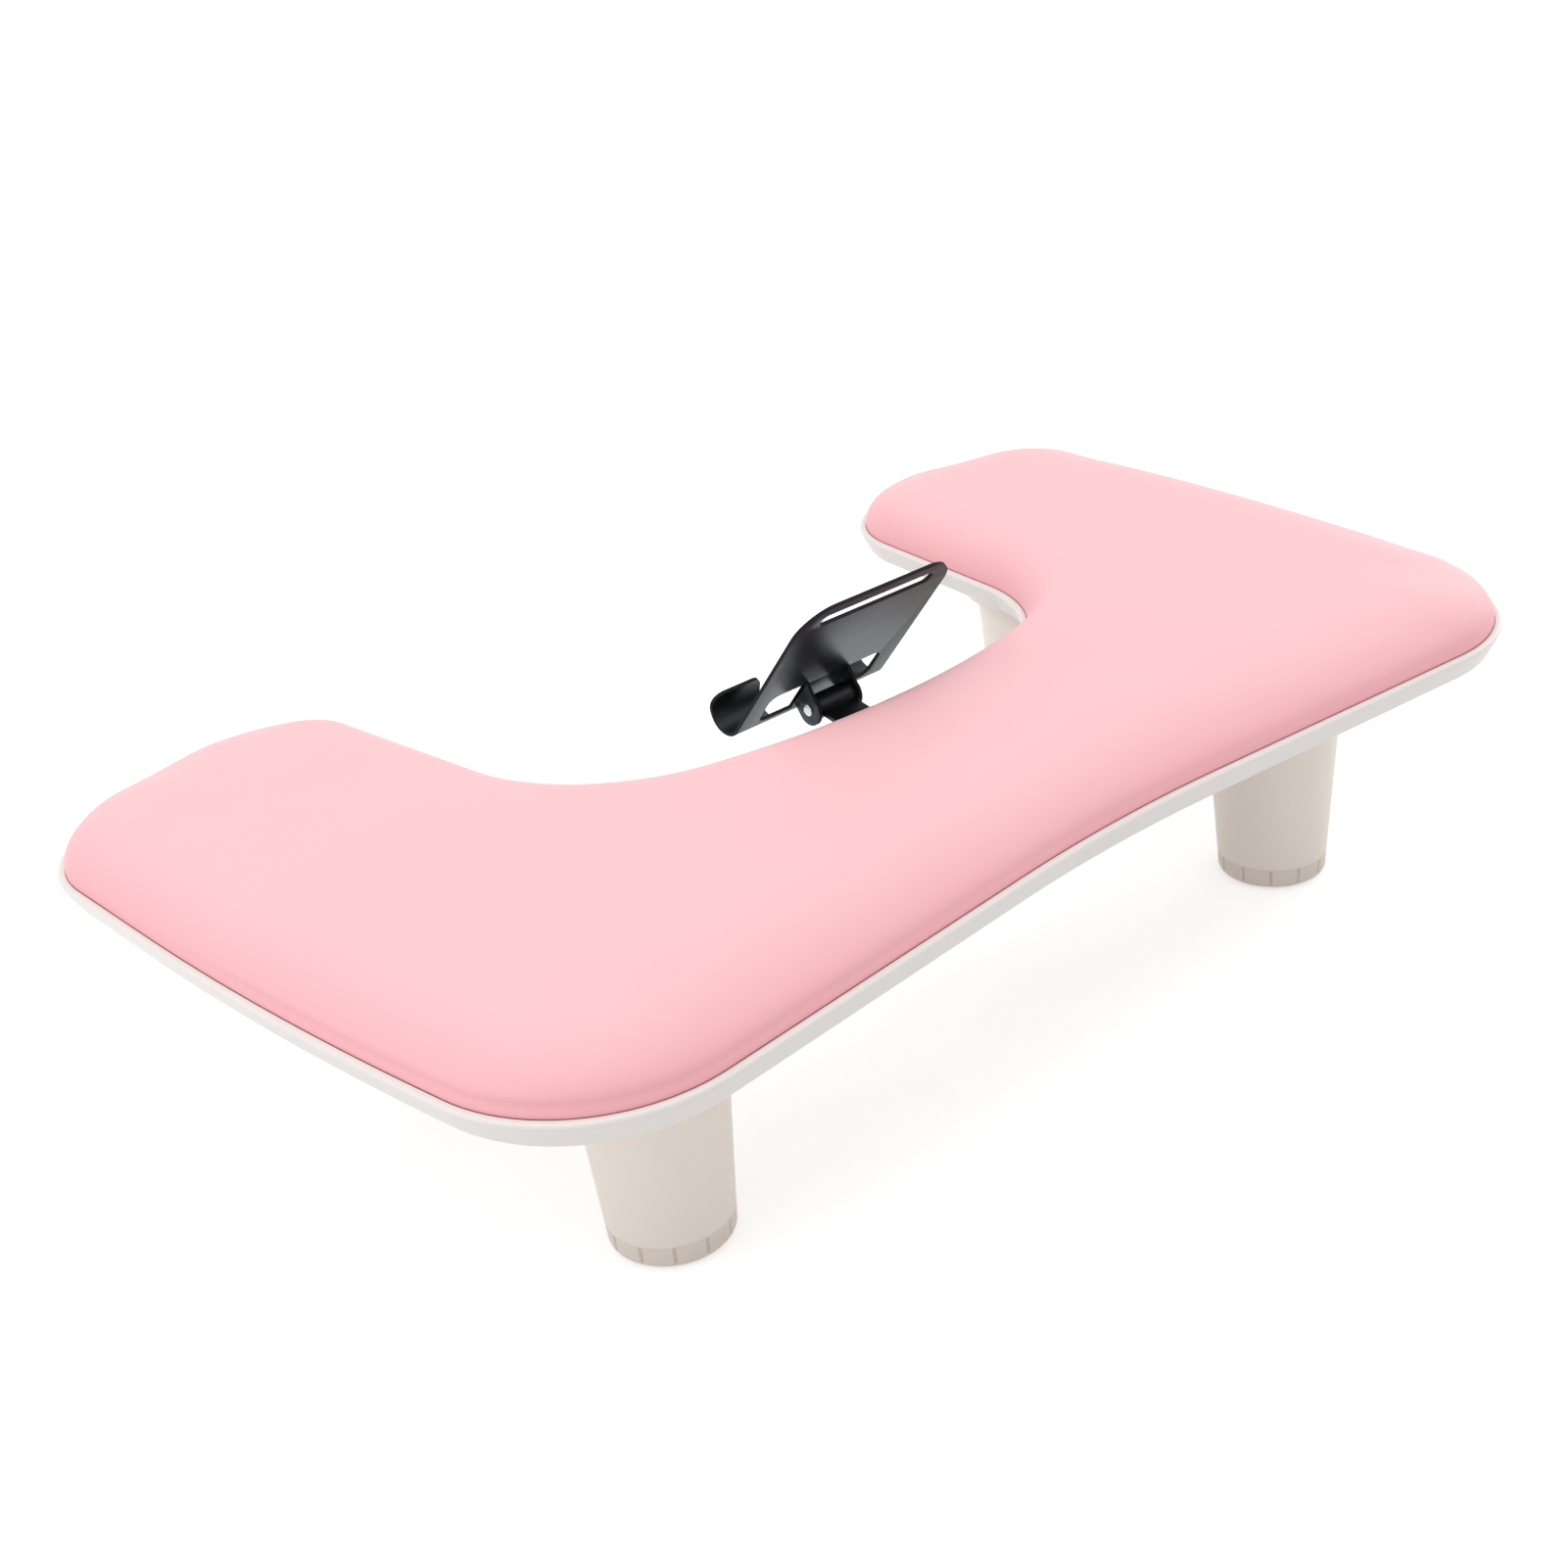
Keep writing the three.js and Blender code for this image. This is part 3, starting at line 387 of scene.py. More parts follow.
# Turned mild steel, bright: fine rings 0.15 mm apart about the pin's own axis
turned = {"colour": "#D9D9DC", "worn": "#C6C6CA", "rings": 0.15, "axisY": -0.76, "axisZ": 114.2}
pinSteel, tree, shader, place = newMaterial("pinSteelTurned", {"Metallic": 1.0, "IOR": 1.5})
pinMiddle = addNode(tree, "ShaderNodeMapping", {
    "vector_type": "POINT", "Location": (0, -turned["axisY"] * mm, -turned["axisZ"] * mm)},
    {"Vector": place})
rings = addNode(tree, "ShaderNodeTexWave", {"wave_type": "RINGS", "rings_direction": "X",
                "Scale": 0.314 / (turned["rings"] * mm), "Distortion": 0.4},
                {"Vector": pinMiddle.outputs[0]})
tint = addNode(tree, "ShaderNodeMix", {"data_type": "RGBA", 6: hexColour(turned["colour"]),
               7: hexColour(turned["worn"])}, {0: rings.outputs["Fac"]})
rough = addNode(tree, "ShaderNodeMapRange", {3: 0.24, 4: 0.34}, {0: rings.outputs["Fac"]})
tree.links.new(tint.outputs[2], shader.inputs["Base Color"])
tree.links.new(rough.outputs[0], shader.inputs["Roughness"])

# Zinc-plated steel: pale grey with a faint blue and yellow cast in patches of 3 mm
screwZinc, tree, shader, place = newMaterial("screwSteelZincPlated", {"Metallic": 1.0, "IOR": 1.5})
patch = addNode(tree, "ShaderNodeTexNoise", {"Scale": 330.0, "Detail": 3.0}, {"Vector": place})
tint = addNode(tree, "ShaderNodeMix", {"data_type": "RGBA", 6: hexColour("#C3C8CE"),
               7: hexColour("#CFCBBE")}, {0: patch.outputs["Fac"]})
rough = addNode(tree, "ShaderNodeMapRange", {3: 0.28, 4: 0.45}, {0: patch.outputs["Fac"]})
tree.links.new(tint.outputs[2], shader.inputs["Base Color"])
tree.links.new(rough.outputs[0], shader.inputs["Roughness"])

# Rotary-cut plywood: plies 1 mm thick show at its edge, long grain lines 4 mm apart on its face
boardPly, tree, shader, place = newMaterial("boardPlywood", {"Roughness": 0.72, "IOR": 1.5})
stretch = addNode(tree, "ShaderNodeMapping", {"Scale": (12, 250, 1000)}, {"Vector": place})
grainLines = addNode(tree, "ShaderNodeTexNoise", {"Scale": 1.0, "Detail": 4.0},
                     {"Vector": stretch.outputs[0]})
tint = addNode(tree, "ShaderNodeMix", {"data_type": "RGBA", 6: hexColour("#D2B486"),
               7: hexColour("#A8824F")}, {0: grainLines.outputs["Fac"]})
bump = addNode(tree, "ShaderNodeBump", {"Strength": 0.3, "Distance": 0.0002},
               {"Height": grainLines.outputs["Fac"]})
tree.links.new(tint.outputs[2], shader.inputs["Base Color"])
tree.links.new(bump.outputs[0], shader.inputs["Normal"])

# Open-cell polyurethane foam: pale yellow, matt, cells 0.7 mm across
padFoam, tree, shader, place = newMaterial("padFoamOpenCell", {"Roughness": 0.95, "IOR": 1.5})
cells = addNode(tree, "ShaderNodeTexVoronoi", {"Scale": 1000 / 0.7}, {"Vector": place})
tint = addNode(tree, "ShaderNodeMix", {"data_type": "RGBA", 6: hexColour("#D9C98F"),
               7: hexColour("#F3E6B8")}, {0: cells.outputs["Distance"]})
bump = addNode(tree, "ShaderNodeBump", {"Strength": 0.6, "Distance": 0.0004},
               {"Height": cells.outputs["Distance"]})
tree.links.new(tint.outputs[2], shader.inputs["Base Color"])
tree.links.new(bump.outputs[0], shader.inputs["Normal"])
print("armrest: materials made")


tray = {
    "deckTop": 107.6, "deck": 2.6, "wall": 2.4, "toeOut": -1.33, "rimOut": 3.86, "rimRound": 1.3,
    "toeRound": 2.4, "lip": 0.22, "lipRound": 0.2, "deckIn": 24,
}


def makeTray():
    # A profile of offsets and heights carried round the plan, with the deck as a flat at each end
    deckLow = tray["deckTop"] - tray["deck"]
    seam, skirt, lip = plan["seam"], plan["skirt"], tray["lip"]
    slope = (tray["rimOut"] - tray["toeOut"]) / (seam - skirt)
    wallTop = tray["toeOut"] + slope * (deckLow - skirt) - tray["wall"]
    profile = rounded(
        [(-tray["deckIn"], deckLow), (wallTop, deckLow), (tray["toeOut"] - tray["wall"], skirt),
         (tray["toeOut"], skirt), (tray["rimOut"], seam), (lip, seam), (lip, tray["deckTop"]),
         (-tray["deckIn"], tray["deckTop"])],
        [1.2, 0.5, tray["toeRound"], tray["rimRound"], tray["lipRound"], 0], 8)
    rows = np.stack([ring(o, z) for o, z in profile])
    return meshPiece("trayRim", rows, gridFaces(len(rows), len(edge), caps=(True, True)), trayAbs)


legs = {
    "x": 164.9, "frontY": -88.6, "backY": 41.2, "foot": 22.3, "top": 28.8, "wall": 2.5,
    "flare": 3, "capTop": 9.55, "columns": 128,
}
screws = {
    "middleY": -112.0, "blockY": -76.0, "frontX": 95.6, "waistX": 230.3, "waistY": -24.5,
    "wingX": 210.5, "wingY": 107.0, "boss": 5.0, "bossLow": 99.9, "cup": 3.9, "seat": 101.1, "hole": 1.8,
}
under = {"rib": 1.8, "ribDrop": 0.5, "ribTop": 105.6, "top": 106, "legTop": 105.8,
         "reach": 270, "front": -170, "back": 180}
legPlaces = [("front_left", -legs["x"], legs["frontY"]), ("front_right", legs["x"], legs["frontY"]),
             ("back_left", -legs["x"], legs["backY"]), ("back_right", legs["x"], legs["backY"])]


def ribRun(x0, y0, x1, y1):
    # The stretches of a straight line that lie inside the tray's wall
    n = 400
    line = np.linspace((x0, y0), (x1, y1), n)
    inside = insideLoop(line, edge, 2.4)
    starts = np.flatnonzero(inside & ~np.roll(inside, 1))
    ends = np.flatnonzero(inside & ~np.roll(inside, -1))
    return [(line[a], line[b]) for a, b in zip(starts, ends)]


def makeRibs():
    # Upright bars under the deck, along the rows and columns of legs and screws
    half, low, high = under["rib"] / 2, plan["skirt"] + under["ribDrop"], under["ribTop"]
    points, faces, reach = [], [], under["reach"]
    rows = [(-reach, y, reach, y) for y in (legs["frontY"], legs["backY"], screws["middleY"])]
    columns = [(x * s, under["front"], x * s, under["back"])
               for x in (legs["x"], screws["frontX"], screws["wingX"]) for s in (-1, 1)]
    for run in rows + columns:
        for a, b in ribRun(*run):
            across = np.array([-(b - a)[1], (b - a)[0]]) / np.linalg.norm(b - a) * half
            foot = [a - across, b - across, b + across, a + across]
            faces += boxFaces(len(points))
            points += [(*q, low) for q in foot] + [(*q, high) for q in foot]
    piece = meshPiece("trayRibs", np.array(points) + [0, rowShift, 0], faces, trayAbs)
    roundEdges(piece, 0.25)
    return piece


def makeBosses():
    # A screw boss is a turned ring: foot, outer wall, deck end, then the screw's hole
    cup, boss, hole, seat = (screws[k] for k in ("cup", "boss", "hole", "seat"))
    top = under["top"]
    profile = np.array([(cup, seat), (boss, screws["bossLow"]), (boss, top), (hole, top), (hole, seat)])
    places = [(0, screws["middleY"]), (0, screws["blockY"])]
    rows = (("front", legs["frontY"]), ("waist", screws["waistY"]), ("wing", screws["wingY"]))
    places += [(s * screws[name + "X"], y) for name, y in rows for s in (-1, 1)]
    columns = 40
    grids = [turnedGrid(profile, columns, (x, y + rowShift, 0)) for x, y in places]
    faces = gridFaces(len(profile), columns, wrapRows=True)
    every = [[i + k * len(profile) * columns for i in f] for k in range(len(grids)) for f in faces]
    return meshPiece("trayBosses", np.stack(grids), every, trayAbs)


def legRadius(z):
    return legs["foot"] + (legs["top"] - legs["foot"]) * z / plan["skirt"]


def makeLeg(place, x, y):
    # A drafted tube: its radius grows straight with height, then runs out in a quarter arc
    bottom, turn, top = legs["capTop"], plan["skirt"], under["legTop"]
    out = legRadius(turn) + legs["flare"] + 2
    outer = rounded(
        [(legRadius(bottom) - legs["wall"], bottom), (legRadius(bottom), bottom),
         (legRadius(turn), turn), (out, turn), (out, top), (legRadius(top) - legs["wall"], top)],
        [0, legs["flare"], 0, 0], 10)
    grid = turnedGrid(outer, legs["columns"], (x, y + rowShift, 0))
    return meshPiece("legTube_" + place, grid, gridFaces(len(outer), legs["columns"], wrapRows=True),
                     trayAbs)


cap = {
    "grooves": 12, "leftTurn": -4.5, "rightTurn": 6.5, "width": 1.2, "depth": 1.1, "low": 1.8,
    "high": 9.2, "fade": 0.6, "height": 9.5, "floor": 0.8, "edge": 1.9, "recess": 17.3, "padTop": 2.5,
    "spigot": 20.0, "bore": 18.1, "spigotTop": 18, "boreFloor": 4.9, "columns": 720,
}


def makeCap(place, x, y):
    # A turned cup whose band is pressed in by depth * groove(angle) * window(height)
    bandLow = cap["floor"] + cap["edge"] + 0.2
    rise = np.linspace(bandLow, cap["height"], 22)
    edgeTurn = rounded([(cap["recess"], cap["floor"]), (legRadius(1), cap["floor"]),
                        (legRadius(3), bandLow)], [cap["edge"]], 6)[:-1]
    profile = np.vstack([
        [(0, cap["padTop"]), (cap["recess"], cap["padTop"])], edgeTurn,
        np.column_stack([legRadius(rise), rise]),
        [(cap["spigot"], cap["height"]), (cap["spigot"], cap["spigotTop"]),
         (cap["bore"], cap["spigotTop"]), (cap["bore"], cap["boreFloor"]), (0, cap["boreFloor"])]])
    grid = turnedGrid(profile, cap["columns"])
    a = np.arctan2(grid[..., 1], grid[..., 0])
    radius = np.hypot(grid[..., 0], grid[..., 1])
    pitch = 2 * math.pi / cap["grooves"]
    turn = math.radians(cap["leftTurn"] if x < 0 else cap["rightTurn"])
    away = np.abs(((a - turn) / pitch + 0.5) % 1 - 0.5) * pitch * legs["foot"]
    groove = np.clip(1 - (away / (cap["width"] / 2)) ** 2, 0, 1) ** 0.5
    z = grid[..., 2]
    window = (np.clip((z - cap["low"]) / cap["fade"], 0, 1)
              * np.clip((cap["high"] - z) / cap["fade"], 0, 1))
    press = np.where(radius > legs["foot"] - 0.4, cap["depth"] * groove * window, 0)
    grid[..., :2] *= (1 - press / np.maximum(radius, 1))[..., None]
    grid += np.array([x, y + rowShift, 0])
    return meshPiece("footCap_" + place, grid, gridFaces(len(profile), cap["columns"]), capAbs, 30)


trayRim = finish(makeTray(), "armrest", "tray_plastic", "base_tray")
for piece in (makeRibs(), makeBosses()):
    finish(piece, "armrest", "tray_plastic")
for name, x, y in legPlaces:
    finish(makeLeg(name, x, y), "armrest", "tray_plastic")
    finish(makeCap(name, x, y), "armrest", "cap_plastic", "foot_cap_" + name)
    nodes["foot_pad_" + name].material_slots[0].material = footRubber


block = {"half": 21.0, "backY": -67, "lowY": -33.4, "highY": -32.4, "edge": 0.4}


def makeArmBlock():
    # The block that the arm screws into: the bay's own wall, run back and closed as a box
    half, back = block["half"], block["backY"]
    x = np.tile([-half, half, half, -half], 2)
    y = np.array([back, back, block["lowY"], block["lowY"], back, back, block["highY"], block["highY"]])
    z = np.repeat([plan["skirt"], under["legTop"]], 4)
    piece = meshPiece("armBlock", np.column_stack([x, y + rowShift, z]), boxFaces(), trayAbs)
    roundEdges(piece, block["edge"], 3)
    return piece


finish(makeArmBlock(), "armrest", "tray_plastic")
print("armrest: tray, legs and caps made")


cushion = {
    "rise": 20.6, "bulge": 0.1, "lift": 0.2, "roll": 0.3, "tuckZ": 107.9, "hem": 22, "skin": 1.2,
    "edgeRows": 30, "fill": 5, "slack": 0.2, "voxel": 4.5, "pressure": 4, "cap": 1.5, "frames": 20,
    "spread": 5.5, "crease": 0.9, "creaseAt": 3.5, "creaseSpread": 1.4, "creaseBack": 60,
}


def crownRows(rise, inset=0.0):
    # Rows of rings: a quarter ellipse, offset -w(1 - cos a) and height rise sin a, from the roll at
    # the seam to the edge of the flat
    seam, lift = plan["seam"], cushion["lift"]
    a = np.linspace(0, 1, cushion["edgeRows"]) ** 1.15 * math.pi / 2
    rows = [ring(cushion["bulge"] - inset - (width - inset + cushion["bulge"]) * (1 - math.cos(t)),
                 seam + lift + (rise - lift - inset) * math.sin(t)) for t in a]
    return np.stack(rows)


def crownedMesh(name, rows, material, sharp, foot):
    # The rows are joined as a grid; inside the last ring lies a square grid of points, one fill
    # step apart, joined to it by Delaunay triangles
    step, last = cushion["fill"], rows[-1]
    low, high = last[:, :2].min(axis=0), last[:, :2].max(axis=0)
    x, y = np.meshgrid(np.arange(low[0], high[0], step), np.arange(low[1], high[1], step))
    inner = np.column_stack([x.ravel(), y.ravel()])
    inner = inner[insideLoop(inner, last[:, :2], step * 0.6)]
    flat = np.vstack([last[:, :2], inner])
    ringEdges = [(i, (i + 1) % len(last)) for i in range(len(last))]
    made = geometry.delaunay_2d_cdt([Vector(p) for p in flat.tolist()], ringEdges, [], 1, 1e-4)
    source = [origin[0] for origin in made[3]]
    base = (len(rows) - 1) * len(last)
    faces = gridFaces(len(rows), len(last), caps=(foot, False))
    faces += [[base + source[i] for i in face] for face in made[2]]
    points = np.vstack([rows.reshape(-1, 3), np.column_stack([inner, np.full(len(inner), last[0, 2])])])
    return meshPiece(name, points, faces, material, sharp)


def rollRows():
    # The small roll where the skin turns in over the rim and down its tuck to the hem
    seam, lift, roll = plan["seam"], cushion["lift"], cushion["roll"]
    a = np.radians(np.linspace(-75, -12, 6))
    turn = [ring(cushion["bulge"] - roll + roll * math.cos(t), seam + lift + roll * math.sin(t))
            for t in a]
    low = cushion["tuckZ"]
    down = rounded([(-cushion["hem"], low), (-0.6, low), (-0.6, seam - 0.5)], [0.5], 4)
    return np.stack([ring(o, z) for o, z in down] + turn)


def simulatedWay():
    # A copy that starts a little smaller is remeshed and pumped up as cloth with its foot held; each
    # point's way d is eased to d * cap / (cap + |d|)
    foot = ring(-cushion["slack"], cushion["tuckZ"] + 0.4)[None]
    rows = np.concatenate([foot, crownRows(cushion["rise"], cushion["slack"])])
    pad = crownedMesh("padTrial", rows, padVinyl, 80, True)
    cut = pad.modifiers.new("voxels", "REMESH")
    cut.mode, cut.voxel_size = "VOXEL", cushion["voxel"] * mm
    graph = bpy.context.evaluated_depsgraph_get()
    pad.data = bpy.data.meshes.new_from_object(pad.evaluated_get(graph))
    pad.modifiers.clear()
    start = pointsOf(pad.data) / mm
    held = pad.vertex_groups.new(name="held")
    held.add(np.flatnonzero(start[:, 2] < plan["seam"] + 2).tolist(), 1.0, "REPLACE")
    cloth = pad.modifiers.new("cloth", "CLOTH")
    cloth.settings.use_pressure = True
    cloth.settings.uniform_pressure_force = cushion["pressure"]
    cloth.settings.vertex_group_mass = "held"
    cloth.settings.effector_weights.gravity = 0
    cloth.point_cache.frame_start, cloth.point_cache.frame_end = 1, cushion["frames"]
    scene = bpy.context.scene
    for f in range(1, cushion["frames"] + 1):
        scene.frame_set(f)
    graph = bpy.context.evaluated_depsgraph_get()
    blown = bpy.data.meshes.new_from_object(pad.evaluated_get(graph))
    way = pointsOf(blown) / mm - start
    far = np.linalg.norm(way, axis=1, keepdims=True)
    scene.frame_set(1)
    bpy.data.objects.remove(pad)
    print("armrest: cloth moved up to", round(float(far.max()), 1), "mm, of", len(start), "points")
    return start, way * cushion["cap"] / (cushion["cap"] + far)


def makeCover():
    # One sheet from the hem, round the roll and over the crown, turned to face up; the crown is
    # pumped as the cloth was, and the skin gets its thickness inwards
    rows = np.concatenate([rollRows(), crownRows(cushion["rise"])])
    piece = crownedMesh("cushionCover", rows, padVinyl, 80, False)
    up = np.zeros(len(piece.data.polygons) * 3, np.float32)
    piece.data.polygons.foreach_get("normal", up)
    tall = np.zeros(len(piece.data.polygons) * 3, np.float32)
    piece.data.polygons.foreach_get("center", tall)
    if up.reshape(-1, 3)[tall.reshape(-1, 3)[:, 2] > (plan["seam"] + 15) * mm, 2].sum() < 0:
        piece.data.flip_normals()
    pump(piece, *simulatedWay())
    draw(piece)
    skin = piece.modifiers.new("skin", "SOLIDIFY")
    skin.thickness, skin.offset = cushion["skin"] * mm, -1
    return piece


def pump(piece, start, way):
    # Each point of the crown moves by the mean of the cloth's ways, weighted by
    # exp(-(distance / spread)^2), from 2 mm above the seam and fully 10 mm higher
    co = pointsOf(piece.data) / mm
    crown = np.flatnonzero(co[:, 2] > plan["seam"] + 2)
    for part in np.array_split(crown, 60):
        points = co[part]
        squares = (points ** 2).sum(axis=1)[:, None] + (start ** 2).sum(axis=1)[None]
        apart = squares - 2 * points @ start.T
        near = np.exp(-apart / cushion["spread"] ** 2)
        weight = np.clip((points[:, 2:] - plan["seam"] - 2) / 10, 0, 1)
        co[part] += near @ way / near.sum(axis=1)[:, None] * weight
    setPoints(piece.data, co * mm)


def draw(piece):
    # Where the cover bends over the board's edge it is drawn in along the plan's normal, by
    # crease * exp(-((z - seam - creaseAt) / creaseSpread)^2), most at the front left corner, less
    # toward the back and none in the bay
    co = pointsOf(piece.data) / mm
    z = co[:, 2] - plan["seam"]
    depth = cushion["crease"] * np.exp(-((z - cushion["creaseAt"]) / cushion["creaseSpread"]) ** 2)
    near = np.linalg.norm(co[:, None, :2] - [0, rowShift] - edge[None], axis=2).argmin(axis=1)
    outer = np.clip((width - plan["bayEdge"]) / (plan["outerEdge"] - plan["bayEdge"]), 0, 1) ** 3
    front = np.clip((cushion["creaseBack"] - edge[:, 1]) / 80, 0, 1)
    depth *= (outer * front * np.clip(0.5 - edge[:, 0] / 400, 0.3, 1))[near]
    co[:, :2] -= normal[near] * np.where(z > 0.2, depth, 0)[:, None]
    setPoints(piece.data, co * mm)


core = {"inset": 3.4, "boardTop": 114.7, "footIn": 6.0, "rowsCut": 10}


def makeFoam():
    # The same crown, kept inside the skin, down to the board
    rows = crownRows(cushion["rise"], core["inset"])
    rows[..., 2] = np.maximum(rows[..., 2], core["boardTop"] + 0.1)
    rows = np.concatenate([ring(-core["footIn"], core["boardTop"])[None], rows[core["rowsCut"]:]])
    return crownedMesh("cushionFoam", rows, padFoam, 60, True)


cover = finish(makeCover(), "armrest", "cover_leather", "cushion_cover")
foam = finish(makeFoam(), "armrest", "foam", "cushion_foam")
nodes["cushion_board"].material_slots[0].material = boardPly
for i in range(1, 9):
    nodes["cushion_screw_%d" % i].material_slots[0].material = screwZinc
print("armrest: cushion made")


rest = {
    "lean": 39.6, "pinY": -0.9, "pinZ": 114.2, "width": 77, "top": 68, "thick": 1.5,
    "standoff": 7, "corner": 15, "hookWidth": 26, "hookRoot": 20.5, "hookDepth": 18.4,
    "hookStart": -9.3, "lip": 0.4, "lipCorner": 6.5, "lipInner": 4.5, "footLow": -12.3,
    "slit": 56.4, "slitWidth": 6.6, "slitDrop": 8, "windowOut": 29.2, "windowTop": 9.2,
    "windowLow": -8.4, "windowCorner": 4.5, "sharp": 0.6, "edge": 0.28, "bendRows": 30,
}
ear = {"out": 11.4, "thick": 1.5, "radius": 6.5, "hole": 2.3, "low": -4.4, "edge": 0.25}


def inRest(points):
    # The rest's own frame (x, through the plate, up the plate) turned back by the lean at the pin
    a = math.radians(rest["lean"])
    x, y, z = np.moveaxis(np.asarray(points, float), -1, 0)
    return np.stack([x, y * math.cos(a) - z * math.sin(a) + rest["pinY"] + rowShift,
                     y * math.sin(a) + z * math.cos(a) + rest["pinZ"]], -1)


def flatCut(name, loops):
    # Closed outlines in one plane; inner ones are holes. Blender fills the flat curve
    curve = bpy.data.curves.new(name, "CURVE")
    curve.dimensions, curve.fill_mode = "2D", "BOTH"
    for loop in loops:
        spline = curve.splines.new("POLY")
        spline.points.add(len(loop) - 1)
        flat = np.column_stack([loop, np.zeros(len(loop)), np.ones(len(loop))])
        spline.points.foreach_set("co", flat.ravel())
        spline.use_cyclic_u = True
    holder = bpy.data.objects.new(name, curve)
    bpy.context.scene.collection.objects.link(holder)
    graph = bpy.context.evaluated_depsgraph_get()
    mesh = bpy.data.meshes.new_from_object(holder.evaluated_get(graph))
    bpy.data.objects.remove(holder)
    return mesh


def closedRound(points, radii, steps=14):
    # A closed outline with a fillet at every corner
    p = [points[-1], *points, points[0]]
    path = rounded(p, radii, steps)
    return path[1:-1]


def makePlate():
    # The sheet is cut flat, with s running up it from the hooks' bend line, then s below zero is
    # rolled: y = c - R cos(s/R), z = h - R sin(s/R), and the lip past the half turn stands straight
    half, inner = rest["width"] / 2, rest["width"] / 2 - rest["hookWidth"]
    root = half - rest["hookRoot"]
    r = rest["hookDepth"] / 2 - rest["thick"] / 2
    start = rest["hookStart"]
    end = -(math.pi * r + rest["lip"])
    top, foot = rest["top"] - start, rest["footLow"] - start
    outline = closedRound(
        [(-half, end), (-inner, end), (-root, foot), (root, foot), (inner, end), (half, end),
         (half, top), (-half, top)],
        [rest["lipCorner"], rest["lipInner"], rest["sharp"], rest["sharp"], rest["lipInner"],
         rest["lipCorner"], rest["corner"], rest["corner"]])
    s = rest["slit"] / 2
    slitMid, w = top - rest["slitDrop"], rest["slitWidth"] / 2
    slit = closedRound([(-s, slitMid - w), (s, slitMid - w), (s, slitMid + w), (-s, slitMid + w)],
                       [w * 0.98] * 4, 8)
    low, high, c = rest["windowLow"] - start, rest["windowTop"] - start, rest["windowCorner"]
    windows = [closedRound([(side * ear["out"], low), (side * rest["windowOut"], low),
                            (side * rest["windowOut"], high), (side * ear["out"], high)],
                           [0.5, c, c, 0.5], 10) for side in (-1, 1)]
    mesh = flatCut("plateCut", [outline, slit, *windows])
    bm = bmesh.new()
    bm.from_mesh(mesh)
    bmesh.ops.remove_doubles(bm, verts=bm.verts, dist=1e-4)
    for cut in np.linspace(0, end + rest["lip"], rest["bendRows"]):
        bmesh.ops.bisect_plane(bm, geom=bm.verts[:] + bm.edges[:] + bm.faces[:],
                               plane_co=(0, cut, 0), plane_no=(0, 1, 0), dist=1e-5)
    bm.to_mesh(mesh)
    bm.free()
    x, s, _ = pointsOf(mesh).T.astype(float)
    middle = rest["standoff"] + rest["thick"] / 2
    turn = np.clip(-s / r, 0, math.pi)
    past = np.clip(-s - math.pi * r, 0, None)
    y = middle + r - r * np.cos(turn)
    z = np.where(s > 0, s, -r * np.sin(turn) + past) + start
    setPoints(mesh, inRest(np.stack([x, y, z], -1)) * mm)
    piece = dressed("phonePlate", mesh, restCoat, 40)
    asSheet(piece, rest["thick"], rest["edge"])
    return piece


def makeEars():
    # Each ear is a flat tab: it leaves the plate along its fold, from ear low to the window's top,
    # and its straight sides run to an arc round the pin
    r, base = ear["radius"], rest["standoff"] + rest["thick"] * 0.6
    a = np.linspace(math.pi / 2, math.pi * 1.5, 25)
    tab = np.vstack([[(base, ear["low"]), (base, rest["windowTop"] - 0.1),
                      (rest["standoff"] - 0.6, rest["windowTop"] - 0.4)],
                     np.column_stack([r * np.cos(a), r * np.sin(a)]),
                     [(rest["standoff"] - 0.6, ear["low"] - 0.4)]])
    t = np.linspace(0, 2 * math.pi, 33)[:-1]
    hole = np.column_stack([ear["hole"] * np.cos(t), ear["hole"] * np.sin(t)])
    pieces = []
    for side, name in ((-1, "left"), (1, "right")):
        mesh = flatCut("earCut", [tab, hole])
        y, z, _ = pointsOf(mesh).T.astype(float)
        x = np.full(len(y), side * (ear["out"] - ear["thick"] / 2))
        setPoints(mesh, inRest(np.stack([x, y, z], -1)) * mm)
        piece = dressed("plateEar_" + name, mesh, restCoat, 40)
        asSheet(piece, ear["thick"], ear["edge"])
        pieces.append(piece)
    return pieces


pin = {"radius": 2, "head": 2.4, "seat": 11.45, "end": 12.1}


def makePin():
    # Radius and place along X, from dome to dome, carried round the hinge line
    half = rounded([(2, 10), (pin["radius"], pin["seat"]), (pin["head"], pin["seat"]),
                    (pin["head"], pin["end"]), (0, pin["end"])], [0, 0.15, 0.5], 6)[1:]
    half = half[:-1].tolist() + [(1.6, pin["end"] + 0.02), (0, pin["end"] + 0.05)]
    profile = np.array([(r, -x) for r, x in half[::-1]] + half)
    grid = turnedGrid(profile, 64)
    grid = np.stack([grid[..., 2], grid[..., 0], grid[..., 1]], -1)
    grid = inRest(grid)
    return meshPiece("hingePin", grid, gridFaces(len(profile), 64), pinSteel, 35)


arm = {"thick": 2, "knuckle": 5, "bore": 2.3, "slope": 12, "bend": 3, "half": 8.6, "under": 98.9,
       "dropY": -27.4, "footEnd": -61.0, "footHalf": 17, "edge": 0.35}


